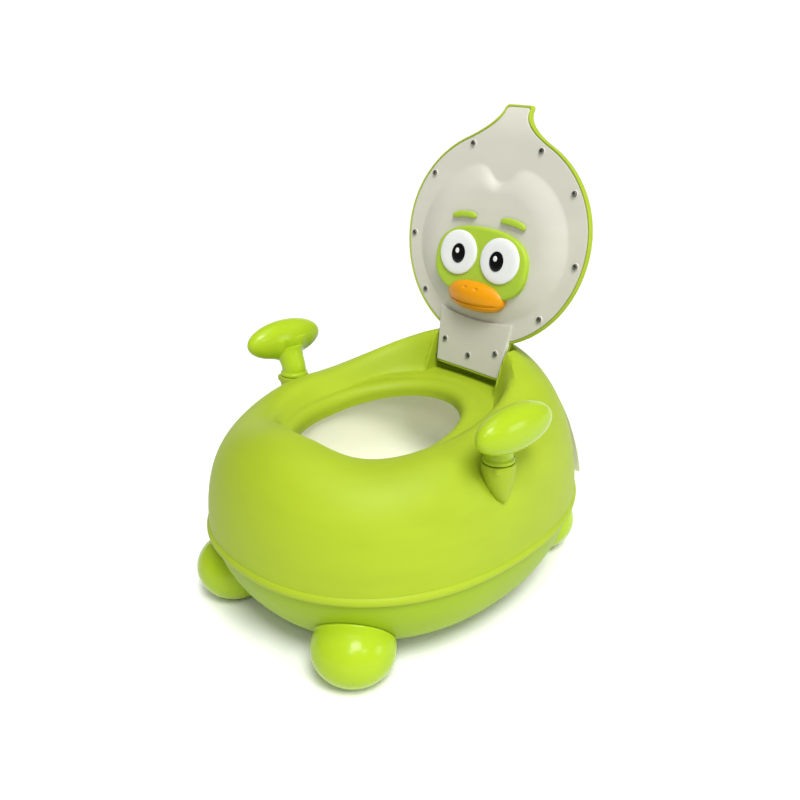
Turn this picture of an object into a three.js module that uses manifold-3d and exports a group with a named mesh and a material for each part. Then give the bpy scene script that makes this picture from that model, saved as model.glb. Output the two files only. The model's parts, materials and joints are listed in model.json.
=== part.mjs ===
// A child's potty chair: a two-part moulded body on four round feet, a slide-out pot with a pull
// plate at the back, two side handles and a hinged lid with a bird's face on its inside.
// Millimetres, +Z up, front towards -Y. The origin is on the floor under the middle of the chair.
import * as THREE from 'three';
import { mergeVertices } from 'three/addons/utils/BufferGeometryUtils.js';
import Module from 'manifold-3d';

const wasm = await Module();
wasm.setup();

// ---- driving dimensions ----
const wall = 2.8;                    // moulded wall of both body shells
const fit = 0.4;                     // clearance between parts that touch or slide
const middleY = -11.87;              // the plan curves' origin, measured from the chair's middle

// widest line of the body: the rolled bead where the two shells meet
const beadHalfWidth = 150;
const beadHalfLength = 189;
const beadExponent = 2.19;
const beadEgg = 0.09;                // how much narrower the back is than the front
const beadZ = 89.3;
const beadRadius = 3;
const beadStep = 1.6;                // how far the bead stands out from the wall above it

// seat opening and the surface round it
const seatHalfWidth = 68.9;
const seatFrontReach = 80.7;         // the opening's centre to its front and back ends
const seatRearReach = 90;
const seatCentreY = -34.5;
const seatRoll = 8;                  // radius of the rolled edge
const frontRollCut = 4;              // how much smaller it is at the front
const skirtDepth = 14;
const sideDeckZ = 179.3;
const frontDeckZ = 175.5;
const rearDeckZ = 191;
const sideCrestZ = 194.1;
const guardCrestZ = 197.7;
const cornerDip = 9.8;               // how far the crest sinks between the sides and the front
const shoulderCrestZ = 237.4;
const wallExponent = 2.34;
const rearWallExponent = 1.65;

// lid
const lidLean = 11.93 * Math.PI / 180;
const hingeY = 91.65;
const hingeZ = 204.1;
const pinRadius = 3.5;
const knuckleRadius = 6.6;
const baseKnuckleRadius = 5;
const baseKnuckleHalf = 10;
const faceOffset = 3;                // hinge axis to the inner face of the lid
const lidCentre = 130;               // all heights on the lid are measured from the hinge axis
const lidHalfWidth = 113;
const lidDown = 106;
const lidUp = 98.5;
const lidDepth = 5.6;
const lidDome = 6;
const lidWall = 2;
const neckBottom = -3.9;
const neckHalfBottom = 41.5;
const neckHalfTop = 44.5;
const neckBlock = 3.2;
const tabHalfWidth = 16.5;
const tabTop = 252;
const tabCurl = 9;
const panelThickness = 2.2;
const lidScrewLength = 4.6;
const lidScrewHole = 1.6;
const rimScrewInset = 9;
const pillowMargin = [20, 26.5, 21]; // lid's edge to the pillow at the sides, top and bottom
const pillowDrop = 10;               // how much lower than the lid's middle the pillow sits
const pillowHeight = 9;

// notch for the lid's neck between the two shoulders
const neckGap = 2.5;
const notchHalfWidth = neckHalfTop + neckGap;
const notchFloorZ = hingeZ - knuckleRadius - neckGap;
const notchBackY = hingeY + knuckleRadius - 0.25;
const pinHalfLength = notchHalfWidth + 6.7;

// pot and its pull plate
const potSideMargin = 9.1;           // how far the pot's rim stands outside the seat opening
const potFrontMargin = 9.8;
const potRearInset = 40;             // bead to the pot's rear wall
const potHalfWidth = seatHalfWidth + potSideMargin;
const potFrontY = seatCentreY - seatFrontReach - potFrontMargin;
const potRearY = beadHalfLength - potRearInset;
const potCentreY = (potFrontY + potRearY) / 2;
const potHalfLength = (potRearY - potFrontY) / 2;
const potBottomZ = 96;
const potRimZ = frontDeckZ - skirtDepth - 2;
const potRimRise = 12;               // how much higher the rim stands behind its front part
const potRiseStartY = -53;
const potRiseLength = 25;
const potWall = 2.6;
const potExponent = 3;
const bayClearance = 1.5;            // pot to the sides and top of the opening it slides through
const bayHalfWidth = potHalfWidth + bayClearance;
const bayTopZ = potRimZ + potRimRise + bayClearance + 2;
const plateHalfWidth = bayHalfWidth + 0.5;
const plateTopZ = bayTopZ - fit;
const plateBottomZ = 74.5;
const plateThickness = 3;
const plateFlare = 20;               // how far the plate's lower edge stands off the bead
const tongueHalf = 24;
const tongueZ = [126, 150];
const tongueMiddleZ = (tongueZ[0] + tongueZ[1]) / 2;
const tongueShare = (plateTopZ - tongueMiddleZ) / (plateTopZ - plateBottomZ);
const plateScrewX = 13;

// handles
const socketInset = 10.5;            // bead to the socket's axis
const socketX = beadHalfWidth - socketInset;
const socketY = -22.9;
const socketRimZ = 186;
const socketRadius = 15;
const socketFloorZ = 160;
const socketTipZ = 146;              // where the cone under the socket ends
const postRadius = 12;
const gripX = socketX + 15.5;
const gripZ = 220.8;
const gripHalf = [15.3, 43.6, 19.8]; // across, along and up

// feet
const frontFootTurn = -54;           // degrees round the bead
const frontFootInset = 19.1;         // bead to the foot's middle
const rearFootTurn = 66;
const rearFootInset = 26.3;
const footScrewInset = 14;           // the foot's middle to its screw
const footHalf = [36.7, 36.7, 31.9];
const footBottomZ = 1.6;
const padRadius = 8.6;
const padThickness = 3;
const baseFloorZ = 18;
const screwHole = 2.1;
const footScrewHead = 4;
const footScrewSeatZ = 15;

// screws that hold the two shells together
const postTurns = [-38, 0, 38];      // degrees round the bead
const postInset = 32;
const postRadiusOut = 5;
const postFloorZ = beadZ - 7.9;

const colours = {
  body: [0xc3dc48, 0.5],
  base: [0xb4cb38, 0.5],
  gloss: [0xb9d62e, 0.2],
  ivory: [0xe4e3cc, 0.45],
  white: [0xf5f5f2, 0.25],
  black: [0x121212, 0.2],
  beak: [0xe89a0c, 0.35],
  brow: [0x9dc02a, 0.4],
  rubber: [0x5f6a4a, 0.85],
  steel: [0xb9bcc0, 0.35],
};

// ---- making and joining closed meshes ----
const group = new THREE.Group();
group.position.y = middleY;
const lid = new THREE.Group();
lid.position.set(0, hingeY, hingeZ);
lid.rotation.x = -lidLean;
group.add(lid);

/** A closed solid from a three.js geometry, turned inside out if its faces point inwards. */
function solid(geometry) {
  const bare = geometry.clone();
  bare.deleteAttribute('normal');
  bare.deleteAttribute('uv');
  const merged = mergeVertices(bare, 1e-4);
  const points = merged.attributes.position.array;
  const corners = [];
  let volume = 0;
  for (let i = 0; i < merged.index.count; i += 3) {
    const [a, b, c] = [0, 1, 2].map((k) => merged.index.getX(i + k));
    if (a === b || b === c || c === a) continue;
    corners.push(a, b, c);
    const [pa, pb, pc] = [a, b, c].map((k) => new THREE.Vector3().fromArray(points, 3 * k));
    volume += pa.dot(pb.cross(pc));
  }
  if (volume < 0) corners.reverse();
  const mesh = new wasm.Mesh({
    numProp: 3,
    vertProperties: new Float32Array(points),
    triVerts: new Uint32Array(corners),
  });
  return new wasm.Manifold(mesh);
}

/** Adds a named mesh to the chair or the lid. */
function part(name, body, [colour, roughness], parent = group) {
  const mesh = body.getMesh();
  const geometry = new THREE.BufferGeometry();
  geometry.setAttribute('position', new THREE.BufferAttribute(mesh.vertProperties, 3));
  geometry.setIndex(new THREE.BufferAttribute(mesh.triVerts, 1));
  geometry.computeVertexNormals();
  const metalness = colour === colours.steel[0] ? 0.9 : 0;
  const material = new THREE.MeshStandardMaterial({ color: colour, roughness, metalness });
  const node = new THREE.Mesh(geometry, material);
  node.name = name;
  parent.add(node);
}

/** Joins rings of points into a closed surface: round a loop, or between a pole at each end. */
function skin(rings, looped) {
  const count = rings[0].length;
  const rows = looped ? rings.length : rings.length - 1;
  const index = [];
  for (let i = 0; i < rows; i += 1) {
    const next = (i + 1) % rings.length;
    for (let j = 0; j < count; j += 1) {
      const k = (j + 1) % count;
      index.push(i * count + j, i * count + k, next * count + k);
      index.push(i * count + j, next * count + k, next * count + j);
    }
  }
  const geometry = new THREE.BufferGeometry();
  const positions = new Float32Array(rings.flat(2));
  geometry.setAttribute('position', new THREE.BufferAttribute(positions, 3));
  geometry.setIndex(index);
  return solid(geometry);
}

function box([x0, x1], [y0, y1], [z0, z1]) {
  const geometry = new THREE.BoxGeometry(x1 - x0, y1 - y0, z1 - z0);
  return solid(geometry.translate((x0 + x1) / 2, (y0 + y1) / 2, (z0 + z1) / 2));
}

/** An upright round bar, or a cone when the two radii differ. */
function bar(radius, x, y, z0, z1, topRadius = radius, sides = 14) {
  const geometry = new THREE.CylinderGeometry(topRadius, radius, z1 - z0, sides);
  return solid(geometry.rotateX(Math.PI / 2).translate(x, y, (z0 + z1) / 2));
}

/** A round bar along X. */
function crossBar(radius, x0, x1, y, z, sides = 14) {
  const geometry = new THREE.CylinderGeometry(radius, radius, x1 - x0, sides);
  return solid(geometry.rotateZ(Math.PI / 2).translate((x0 + x1) / 2, y, z));
}

/** A side view (y, z) swept along X from -half to half. */
function prism(points, half) {
  const shape = new THREE.Shape(points.map(([y, z]) => new THREE.Vector2(y, z)));
  const geometry = new THREE.ExtrudeGeometry(shape, { depth: 2 * half, bevelEnabled: false });
  geometry.translate(0, 0, -half);
  geometry.applyMatrix4(new THREE.Matrix4().set(0, 0, 1, 0, 1, 0, 0, 0, 0, 1, 0, 0, 0, 0, 0, 1));
  return solid(geometry);
}

const mirrored = (body) => body.mirror([1, 0, 0]);
const signedPower = (value, power) => Math.sign(value) * Math.abs(value) ** power;
const smooth = (t) => {
  const clamped = Math.min(Math.max(t, 0), 1);
  return clamped * clamped * (3 - 2 * clamped);
};
const sweep = (count, make) => Array.from({ length: count }, (_, i) => make(2 * Math.PI * i / count));

// ---- plan curves of the body ----
/** The bead: an egg-shaped superellipse. */
function beadPoint(angle) {
  const across = signedPower(Math.cos(angle), 2 / beadExponent);
  const along = signedPower(Math.sin(angle), 2 / beadExponent);
  return [beadHalfWidth * across * (1 - beadEgg * along), beadHalfLength * along];
}

/** The place at an angle in degrees round the bead, moved in from it towards the middle. */
function insideBead(degrees, inset) {
  const [x, y] = beadPoint(degrees * Math.PI / 180);
  const share = 1 - inset / Math.hypot(x, y);
  return [x * share, y * share];
}

function seatPoint(angle) {
  const reach = Math.sin(angle) > 0 ? seatRearReach : seatFrontReach;
  return [seatHalfWidth * Math.cos(angle), seatCentreY + reach * Math.sin(angle)];
}

/** Offsets an open profile of (distance, height) points by a wall, to its right-hand side. */
function insetProfile(points, distance) {
  return points.map(([d, z], i) => {
    const before = points[Math.max(i - 1, 0)];
    const after = points[Math.min(i + 1, points.length - 1)];
    const length = Math.hypot(after[0] - before[0], after[1] - before[1]);
    return [d + distance * (after[1] - before[1]) / length,
      z - distance * (after[0] - before[0]) / length];
  });
}

// ---- upper shell ----
/**
 * Height over distance from the seat's edge out to the bead: skirt, rolled edge, an S-curve up to the
 * crest, and a superelliptic wall down to the bead. Sides, guard and shoulders blend by angle.
 */
function upperProfile(angle) {
  const [seatX, seatY] = seatPoint(angle);
  const [beadX, beadY] = beadPoint(angle);
  const length = Math.hypot(beadX - seatX, beadY - seatY);
  const rear = Math.max(Math.sin(angle), 0);
  const front = Math.max(-Math.sin(angle), 0);
  const side = Math.cos(angle);
  const corner = 4 * front ** 2 * (1 - front ** 2);
  const crestZ = sideCrestZ + (shoulderCrestZ - sideCrestZ) * rear ** 1.6
    + (guardCrestZ - sideCrestZ) * front ** 2 - cornerDip * corner;
  const deckZ = sideDeckZ + (rearDeckZ - sideDeckZ) * rear + (frontDeckZ - sideDeckZ) * front;
  const roll = seatRoll - frontRollCut * front ** 2;
  const foot = Math.max(length * (0.1 + 0.16 * rear ** 2 + 0.6 * rear ** 2 * side ** 4), roll + 1);
  const share = 0.374 - 0.227 * front ** 2 - 0.044 * rear ** 2 + 0.3 * (rear * side) ** 2;
  const crest = Math.max(length * share, foot + 5);
  const power = wallExponent + (rearWallExponent - wallExponent) * rear ** 1.2;
  const points = [[0, deckZ - skirtDepth]];
  for (let i = 0; i <= 2; i += 1) {
    const turn = i / 2 * Math.PI / 2;
    points.push([roll * (1 - Math.cos(turn)), deckZ - roll * (1 - Math.sin(turn))]);
  }
  for (let i = 0; i <= 3; i += 1) {
    const t = i / 3;
    points.push([foot + (crest - foot) * t, deckZ + (crestZ - deckZ) * smooth(t)]);
  }
  const wallFoot = length - beadStep;
  const wallFootZ = beadZ + beadRadius;
  for (let i = 1; i <= 5; i += 1) {
    const turn = i / 5 * Math.PI / 2;
    points.push([crest + (wallFoot - crest) * Math.sin(turn) ** (2 / power),
      wallFootZ + (crestZ - wallFootZ) * Math.abs(Math.cos(turn)) ** (2 / power)]);
  }
  return { points, length };
}

/** Places a profile of (distance from the seat's edge, height) at its angle round the body. */
function placeUpper(angle, length, profile) {
  const [seatX, seatY] = seatPoint(angle);
  const [beadX, beadY] = beadPoint(angle);
  return profile.map(([d, z]) => [
    seatX + (beadX - seatX) * d / length, seatY + (beadY - seatY) * d / length, z]);
}

const roundSteps = 34;

function upperSkin() {
  return skin(sweep(roundSteps, (angle) => {
    const { points, length } = upperProfile(angle);
    const bead = [[length, beadZ + beadRadius / 2], [length, beadZ - beadRadius / 2],
      [length - beadStep, beadZ - beadRadius]];
    const inner = insetProfile(points, wall);
    inner[0][1] = points[0][1];
    inner.push([length - beadStep - wall, beadZ - beadRadius]);
    return placeUpper(angle, length, [...points, ...bead, ...inner.reverse()]);
  }), true);
}

/** Everything under the upper shell's outer surface, with the seat opening filled in. */
function upperSolid() {
  const columns = sweep(roundSteps, (angle) => {
    const { points, length } = upperProfile(angle);
    const low = [length - beadStep, beadZ - beadRadius];
    const ring = placeUpper(angle, length, [...points, low]);
    return [[0, seatCentreY, frontDeckZ - skirtDepth], ...ring, [0, 0, beadZ - beadRadius]];
  });
  return skin(columns[0].map((_, i) => columns.map((column) => column[i])), false);
}

function notch(extra) {
  const lean = Math.tan(lidLean);
  const floor = notchFloorZ - extra;
  const back = notchBackY + extra / Math.cos(lidLean) - extra * lean;
  const top = shoulderCrestZ + 20;
  const frontY = seatCentreY + seatRearReach / 2;
  const side = [[frontY, floor], [back, floor], [back + (top - floor) * lean, top], [frontY, top]];
  return prism(side, notchHalfWidth + extra);
}

const screwPosts = postTurns.map((degrees) => insideBead(degrees, postInset));

function upperShell() {
  const under = upperSolid();
  let body = upperSkin().subtract(notch(0));
  body = body.add(notch(wall).subtract(notch(0)).intersect(under));
  const bossReach = pinHalfLength + 1;
  const boss = crossBar(knuckleRadius + 1, notchHalfWidth, bossReach, hingeY, hingeZ);
  const knuckle = crossBar(baseKnuckleRadius, -baseKnuckleHalf, baseKnuckleHalf, hingeY, hingeZ)
    .add(box([-baseKnuckleHalf, baseKnuckleHalf], [hingeY, notchBackY + 3],
      [hingeZ - pinRadius + 0.5, hingeZ + pinRadius]));
  body = body.add(boss).add(mirrored(boss)).add(knuckle);
  const socket = bar(socketRadius, socketX, socketY, socketFloorZ - 2, socketRimZ, socketRadius, 18)
    .add(bar(socketRadius / 2, socketX, socketY, socketTipZ, socketFloorZ - 2, socketRadius, 18));
  body = body.add(socket).add(mirrored(socket));
  for (const [x, y] of screwPosts) {
    const post = bar(postRadiusOut, x, y, postFloorZ + fit, shoulderCrestZ, postRadiusOut, 14)
      .intersect(under);
    body = body.add(post).add(mirrored(post));
  }
  const bore = bar(postRadius + fit, socketX, socketY, socketFloorZ, socketRimZ + 1, postRadius + fit, 18);
  body = body.subtract(bore).subtract(mirrored(bore));
  for (const [x, y] of screwPosts) {
    const hole = bar(screwHole, x, y, postFloorZ - 5, postFloorZ + 14, screwHole, 8);
    body = body.subtract(hole).subtract(mirrored(hole));
  }
  body = body.subtract(crossBar(pinRadius + fit, -pinHalfLength - fit, pinHalfLength + fit, hingeY, hingeZ));
  return body.subtract(box([-bayHalfWidth, bayHalfWidth], [potRearY - 25, beadHalfLength + 70],
    [potBottomZ - 1.5, bayTopZ]));
}

// ---- base shell ----
/** Outside of the base: share of the bead curve over height, from the flat bottom up to the seam. */
const basePoints = [[0.6, baseFloorZ], [0.74, 20], [0.83, 30], [0.885, 40], [0.915, 50], [0.96, 70]];
const seamZ = beadZ - beadRadius - fit;

function baseOutside(angle, grow = 0) {
  const radius = Math.hypot(...beadPoint(angle));
  const profile = basePoints.map(([share, z]) => [share * radius, z]);
  profile.push([0.985 * radius, seamZ]);
  return insetProfile(profile, grow);
}

function placeBase(angle, profile) {
  const [x, y] = beadPoint(angle);
  const radius = Math.hypot(x, y);
  return profile.map(([r, z]) => [x * r / radius, y * r / radius, z]);
}

/** Rings from one pole to the other, from columns made at each angle. */
function lathe(columnAt, bottomZ, topZ) {
  const columns = sweep(roundSteps, (angle) => [[0, 0, bottomZ], ...columnAt(angle), [0, 0, topZ]]);
  return skin(columns[0].map((_, i) => columns.map((column) => column[i])), false);
}

function baseSkin() {
  return lathe((angle) => {
    const radius = Math.hypot(...beadPoint(angle));
    const outside = baseOutside(angle);
    const tongue = radius - beadStep - wall - 2 * fit;
    const inside = insetProfile(outside, -wall).reverse();
    inside[0][1] -= 3;
    inside[inside.length - 1][1] = baseFloorZ + wall;
    return placeBase(angle, [...outside, [tongue, seamZ], [tongue, seamZ + 6],
      [tongue - 2.4, seamZ + 6], [tongue - 2.4, seamZ - 1], ...inside]);
  }, baseFloorZ, baseFloorZ + wall);
}

function baseSolid(grow) {
  return lathe((angle) => {
    const outside = baseOutside(angle, grow);
    outside[0][1] = baseFloorZ - grow;
    return placeBase(angle, outside);
  }, baseFloorZ - grow, seamZ);
}

const runnerX = 50;
const runnerEnds = [84 - beadHalfLength, beadHalfLength - 89];

const frontFoot = insideBead(frontFootTurn, frontFootInset);
const rearFoot = insideBead(rearFootTurn, rearFootInset);
const frontFootScrew = insideBead(frontFootTurn, frontFootInset + footScrewInset);
const rearFootScrew = insideBead(rearFootTurn, rearFootInset + footScrewInset);

function baseShell() {
  const inside = baseSolid(-wall / 2);
  let body = baseSkin();
  for (const x of [-runnerX, runnerX]) {
    body = body.add(box([x - 1.5, x + 1.5], runnerEnds, [baseFloorZ + 1, potBottomZ - fit]));
  }
  for (const [x, y] of screwPosts) {
    const boss = bar(6.5, x, y, 15, postFloorZ, 6.5, 16).intersect(inside);
    const access = bar(4.3, x, y, 0, postFloorZ - 3, 4.3, 14).add(bar(screwHole, x, y, 0, 90, screwHole, 8));
    body = body.add(boss).add(mirrored(boss)).subtract(access).subtract(mirrored(access));
  }
  for (const [x, y] of [frontFootScrew, rearFootScrew]) {
    const boss = bar(6, x, y, 20, 62, 6, 14).intersect(inside);
    const hole = bar(screwHole, x, y, 10, 58, screwHole, 8);
    body = body.add(boss).add(mirrored(boss)).subtract(hole).subtract(mirrored(hole));
  }
  return body;
}

// ---- screws ----
/** An upright screw: its head hangs below z = 0 and its shank points up. */
function screw(headRadius, headHeight, shankRadius, length) {
  const profile = [[0, -headHeight], [headRadius * 0.6, -headHeight], [headRadius, -headHeight * 0.4],
    [headRadius, 0], [shankRadius, 0], [shankRadius, length - 1], [0, length]];
  const geometry = new THREE.LatheGeometry(profile.map(([r, z]) => new THREE.Vector2(r, z)), 8);
  return solid(geometry.rotateX(Math.PI / 2));
}

// ---- feet ----
/** A foot is a ball standing on the floor and cut to the base it is screwed to. */
function foot([x, y], [screwX, screwY]) {
  const ball = new THREE.SphereGeometry(1, 20, 11);
  ball.rotateX(Math.PI / 2).scale(...footHalf).translate(x, y, footHalf[2]);
  return solid(ball)
    .intersect(box([x - 60, x + 60], [y - 60, y + 60], [footBottomZ, 90]))
    .subtract(baseSolid(fit))
    .subtract(bar(padRadius + fit, x, y, 0, padThickness + fit, padRadius + fit, 14))
    .subtract(bar(footScrewHead + fit, screwX, screwY, 0, footScrewSeatZ, footScrewHead + fit, 14))
    .subtract(bar(screwHole, screwX, screwY, 0, 70, screwHole, 8));
}

// ---- pot and pull plate ----
function potRing(inset, z, rise = 0) {
  return sweep(32, (angle) => {
    const x = (potHalfWidth - inset) * signedPower(Math.cos(angle), 2 / potExponent);
    const y = potCentreY + (potHalfLength - inset) * signedPower(Math.sin(angle), 2 / potExponent);
    return [x, y, z + rise * smooth((y - potRiseStartY) / potRiseLength)];
  });
}

/** How far back the plate's inner face is at x, and at a share of the way down from its top. */
function plateY(x, share) {
  const bead = beadHalfLength * (1 - (Math.abs(x) / (0.93 * beadHalfWidth)) ** beadExponent)
    ** (1 / beadExponent);
  const top = bead - 20.5 - 2 * (x / plateHalfWidth) ** 2;
  return top + (bead + plateFlare - top) * share + 5 * Math.sin(Math.PI * share);
}

/** A plate that follows the back of the body with rounded corners, between two depths. */
function plateBody(near, far) {
  const height = plateTopZ - plateBottomZ;
  const geometry = new THREE.BoxGeometry(2, 2, 2, 8, 1, 6);
  const place = geometry.attributes.position;
  for (let i = 0; i < place.count; i += 1) {
    const share = (1 - place.getZ(i)) / 2;
    const corner = Math.max(0, Math.abs(2 * share - 1) - 0.76) / 0.24;
    const half = plateHalfWidth - 12 * (1 - Math.sqrt(1 - corner * corner));
    const x = half * place.getX(i);
    const depth = place.getY(i) > 0 ? far : near;
    place.setXYZ(i, x, plateY(x, share) + depth, plateTopZ - height * share);
  }
  return solid(geometry);
}

function plateScrewHole(x) {
  return bar(screwHole, x, 0, -40, 40, screwHole, 8).rotate([90, 0, 0])
    .translate([0, plateY(x, tongueShare) - 10, tongueMiddleZ]);
}

/** A deep tray with a rounded lower edge and, at the back, a tongue that carries the pull plate. */
function pot() {
  const outside = [[25, potBottomZ], [11, potBottomZ + 4], [4, potBottomZ + 13], [1.5, potBottomZ + 28],
    [0, potRimZ]];
  const inside = outside.map(([inset, z], i) => [inset + potWall, z + potWall * (1 - i / 4)]);
  const centre = (z) => sweep(32, () => [0, potCentreY, z]);
  const ring = ([inset, z]) => potRing(inset, z, z === potRimZ ? potRimRise : 0);
  const tray = skin([centre(potBottomZ), ...outside.map(ring), ...inside.reverse().map(ring),
    centre(potBottomZ + potWall)], false);
  const tongue = box([-tongueHalf, tongueHalf], [potRearY - 1.5, beadHalfLength + 40], tongueZ)
    .subtract(plateBody(-fit, 90));
  return tray.add(tongue).subtract(plateScrewHole(plateScrewX)).subtract(plateScrewHole(-plateScrewX));
}

// ---- handles ----
/** A smooth egg-shaped grip across the top of a post that drops into the body's socket. */
function handle() {
  const grip = new THREE.SphereGeometry(1, 18, 11);
  grip.rotateX(Math.PI / 2).scale(...gripHalf).translate(gripX, socketY, gripZ);
  const post = bar(postRadius, socketX, socketY, socketFloorZ + fit, socketRimZ + 16, postRadius, 14);
  const collar = bar(socketRadius - 1, socketX, socketY, socketRimZ + fit, socketRimZ + 3, socketRadius - 1, 14);
  const lean = Math.atan2(gripX - socketX, gripZ - socketRimZ - 10);
  const neck = bar(postRadius, 0, 0, -4, 26, postRadius - 1, 14)
    .rotate([0, lean * 180 / Math.PI, 0]).translate([socketX, socketY, socketRimZ + 10]);
  return solid(grip).add(post).add(collar).add(neck);
}

// ---- lid ----
/** Four screws down each side of the lid, a little inside its edge. */
const rimScrews = [66, 33, -8, -44].flatMap((degrees) => {
  const turn = degrees * Math.PI / 180;
  const x = (lidHalfWidth - rimScrewInset) * Math.cos(turn);
  const v = lidCentre + ((turn > 0 ? lidUp : lidDown) - rimScrewInset) * Math.sin(turn);
  return [[x, v], [-x, v]];
});
const neckScrews = [[neckHalfBottom - 8, 20], [8 - neckHalfBottom, 20], [0, 10.5]];

// Lid pieces are drawn face on, in (across, up from the hinge axis, out of the inner face), and then
// stood up, so that "out" becomes the lid's front.
const standUp = (body) => body.rotate([90, 0, 0]);

/** The lid's outline, drawn in by an inset: a neck, two half ellipses and a tab on top. */
function lidOutline(inset) {
  const across = lidHalfWidth - inset;
  const down = lidDown - inset;
  const up = lidUp - inset;
  const neckTurn = Math.acos((neckHalfTop - inset) / across);
  const tabTurn = 62 * Math.PI / 180;
  const tabFoot = [across * Math.cos(tabTurn), lidCentre + up * Math.sin(tabTurn)];
  const tab = tabHalfWidth - inset;
  const top = tabTop - inset;
  const corner = (x, y) => new THREE.Vector2(x, y);
  const neckTop = corner(neckHalfTop - inset, lidCentre - down * Math.sin(neckTurn));
  const stretches = [
    [new THREE.LineCurve(corner(neckHalfBottom - inset, neckBottom + inset), neckTop), 1],
    [new THREE.EllipseCurve(0, lidCentre, across, down, -neckTurn, 0), 6],
    [new THREE.EllipseCurve(0, lidCentre, across, up, 0, tabTurn), 5],
    [new THREE.CubicBezierCurve(corner(...tabFoot), corner(tabFoot[0] - 18, tabFoot[1] + 8),
      corner(tab + 1.5, top - 16), corner(tab, top - 5)), 4],
    [new THREE.QuadraticBezierCurve(corner(tab, top - 5), corner(tab, top), corner(tab - 4, top)), 2],
  ];
  const right = stretches.flatMap(([curve, steps]) => curve.getPoints(steps).slice(0, -1));
  right.push(corner(tab - 4, top));
  const left = right.map((point) => new THREE.Vector2(-point.x, point.y)).reverse();
  return [...right, ...left];
}

/** Height at which the neck's sides meet the round part. */
const neckTopV = lidCentre - lidDown * Math.sin(Math.acos(neckHalfTop / lidHalfWidth));

/** The tab at the top curls away behind the face. */
const curl = (v) => -tabCurl * Math.max(0, (v - lidCentre - 88) / (tabTop - lidCentre - 88)) ** 2;

/** The lid's back bulges out a little over the round part. */
function dome(x, v) {
  const reach = v < lidCentre ? lidDown : lidUp;
  return lidDome * Math.max(0, 1 - (x / lidHalfWidth) ** 2 - ((v - lidCentre) / reach) ** 2);
}

/** A ring of the lid's outline at an inset, shrunk about the middle, at a depth given by a function. */
function lidRing(inset, share, depth) {
  return lidOutline(inset).map(({ x, y }) => {
    const across = x * share;
    const v = lidCentre + (y - lidCentre) * share;
    return [across, v, depth(across, v) + curl(v)];
  });
}

/** The green back: a shallow dish with a rim round the panel, screw bosses and two hinge knuckles. */
function lidShell() {
  const back = (x, v) => faceOffset - lidDepth - dome(x, v);
  const floor = (x, v) => back(x, v) + lidWall;
  const level = (depth) => () => faceOffset + depth;
  const shares = [0.4, 0.8];
  let body = skin([
    lidRing(0, 0, back), ...shares.map((share) => lidRing(1.5, share, back)),
    lidRing(1.5, 1, back), lidRing(0, 1, level(2 - lidDepth)), lidRing(0, 1, level(-0.3)),
    lidRing(0.6, 1, level(0.4)), lidRing(lidWall, 1, level(0)), lidRing(lidWall, 1, floor),
    ...shares.reverse().map((share) => lidRing(lidWall, share, floor)), lidRing(lidWall, 0, floor),
  ], false);
  for (const [x, v] of [...rimScrews, ...neckScrews]) {
    const boss = bar(3.6, x, v, faceOffset - lidDepth + 0.5, faceOffset - panelThickness - fit, 3.6, 8);
    body = body.add(boss.translate([0, 0, curl(v)]));
  }
  const knuckles = crossBar(knuckleRadius, -neckHalfBottom + fit, neckHalfBottom - fit, 0, 0)
    .subtract(box([-60, 60], [neckBottom - fit, 20], [faceOffset - panelThickness - fit, 20]));
  body = body.add(knuckles).subtract(box([-neckHalfTop - 4, neckHalfTop + 4], [-20, neckTopV + 7],
    [faceOffset - 1 - fit, 20]));
  body = body.subtract(crossBar(baseKnuckleRadius + fit, -baseKnuckleHalf - fit, baseKnuckleHalf + fit, 0, 0));
  body = body.subtract(box([-baseKnuckleHalf - fit, baseKnuckleHalf + fit], [-12, 5.4], [-12, 12]));
  body = body.subtract(crossBar(pinRadius + fit, -60, 60, 0, 0));
  for (const [x, v] of [...rimScrews, ...neckScrews]) {
    body = body.subtract(bar(lidScrewHole, x, v, faceOffset - lidScrewLength, 20, lidScrewHole, 8)
      .translate([0, 0, curl(v)]));
  }
  return standUp(body);
}

/** A heart-shaped pillow's outline seen face on, shrunk by a share. */
function pillowRing(share, depth) {
  const pillowHalfWidth = lidHalfWidth - pillowMargin[0];
  const pillowUp = lidUp - pillowMargin[1] + pillowDrop;
  const pillowDown = lidDown - pillowMargin[2] - pillowDrop;
  const pillowCentre = lidCentre - pillowDrop;
  return sweep(26, (angle) => {
    const up = Math.sin(angle);
    const reach = up > 0 ? pillowUp : pillowDown;
    const cleft = up > 0 ? 0.2 * Math.exp(-((Math.cos(angle) / 0.16) ** 2)) : 0;
    return [pillowHalfWidth * share * Math.cos(angle), pillowCentre + reach * share * (1 - cleft) * up, depth];
  });
}

function pillow(drop) {
  const rows = [[1, -0.5], [0.96, 3], [0.88, 6.5], [0.76, 8.5], [0.6, pillowHeight]];
  const base = faceOffset - 1 - 2 * drop;
  return skin([pillowRing(0, base), pillowRing(1 - drop / 90, base),
    ...rows.map(([share, height]) => pillowRing(share - drop / 90, faceOffset + height - drop)),
    pillowRing(0, faceOffset + pillowHeight - drop)], false);
}

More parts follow.
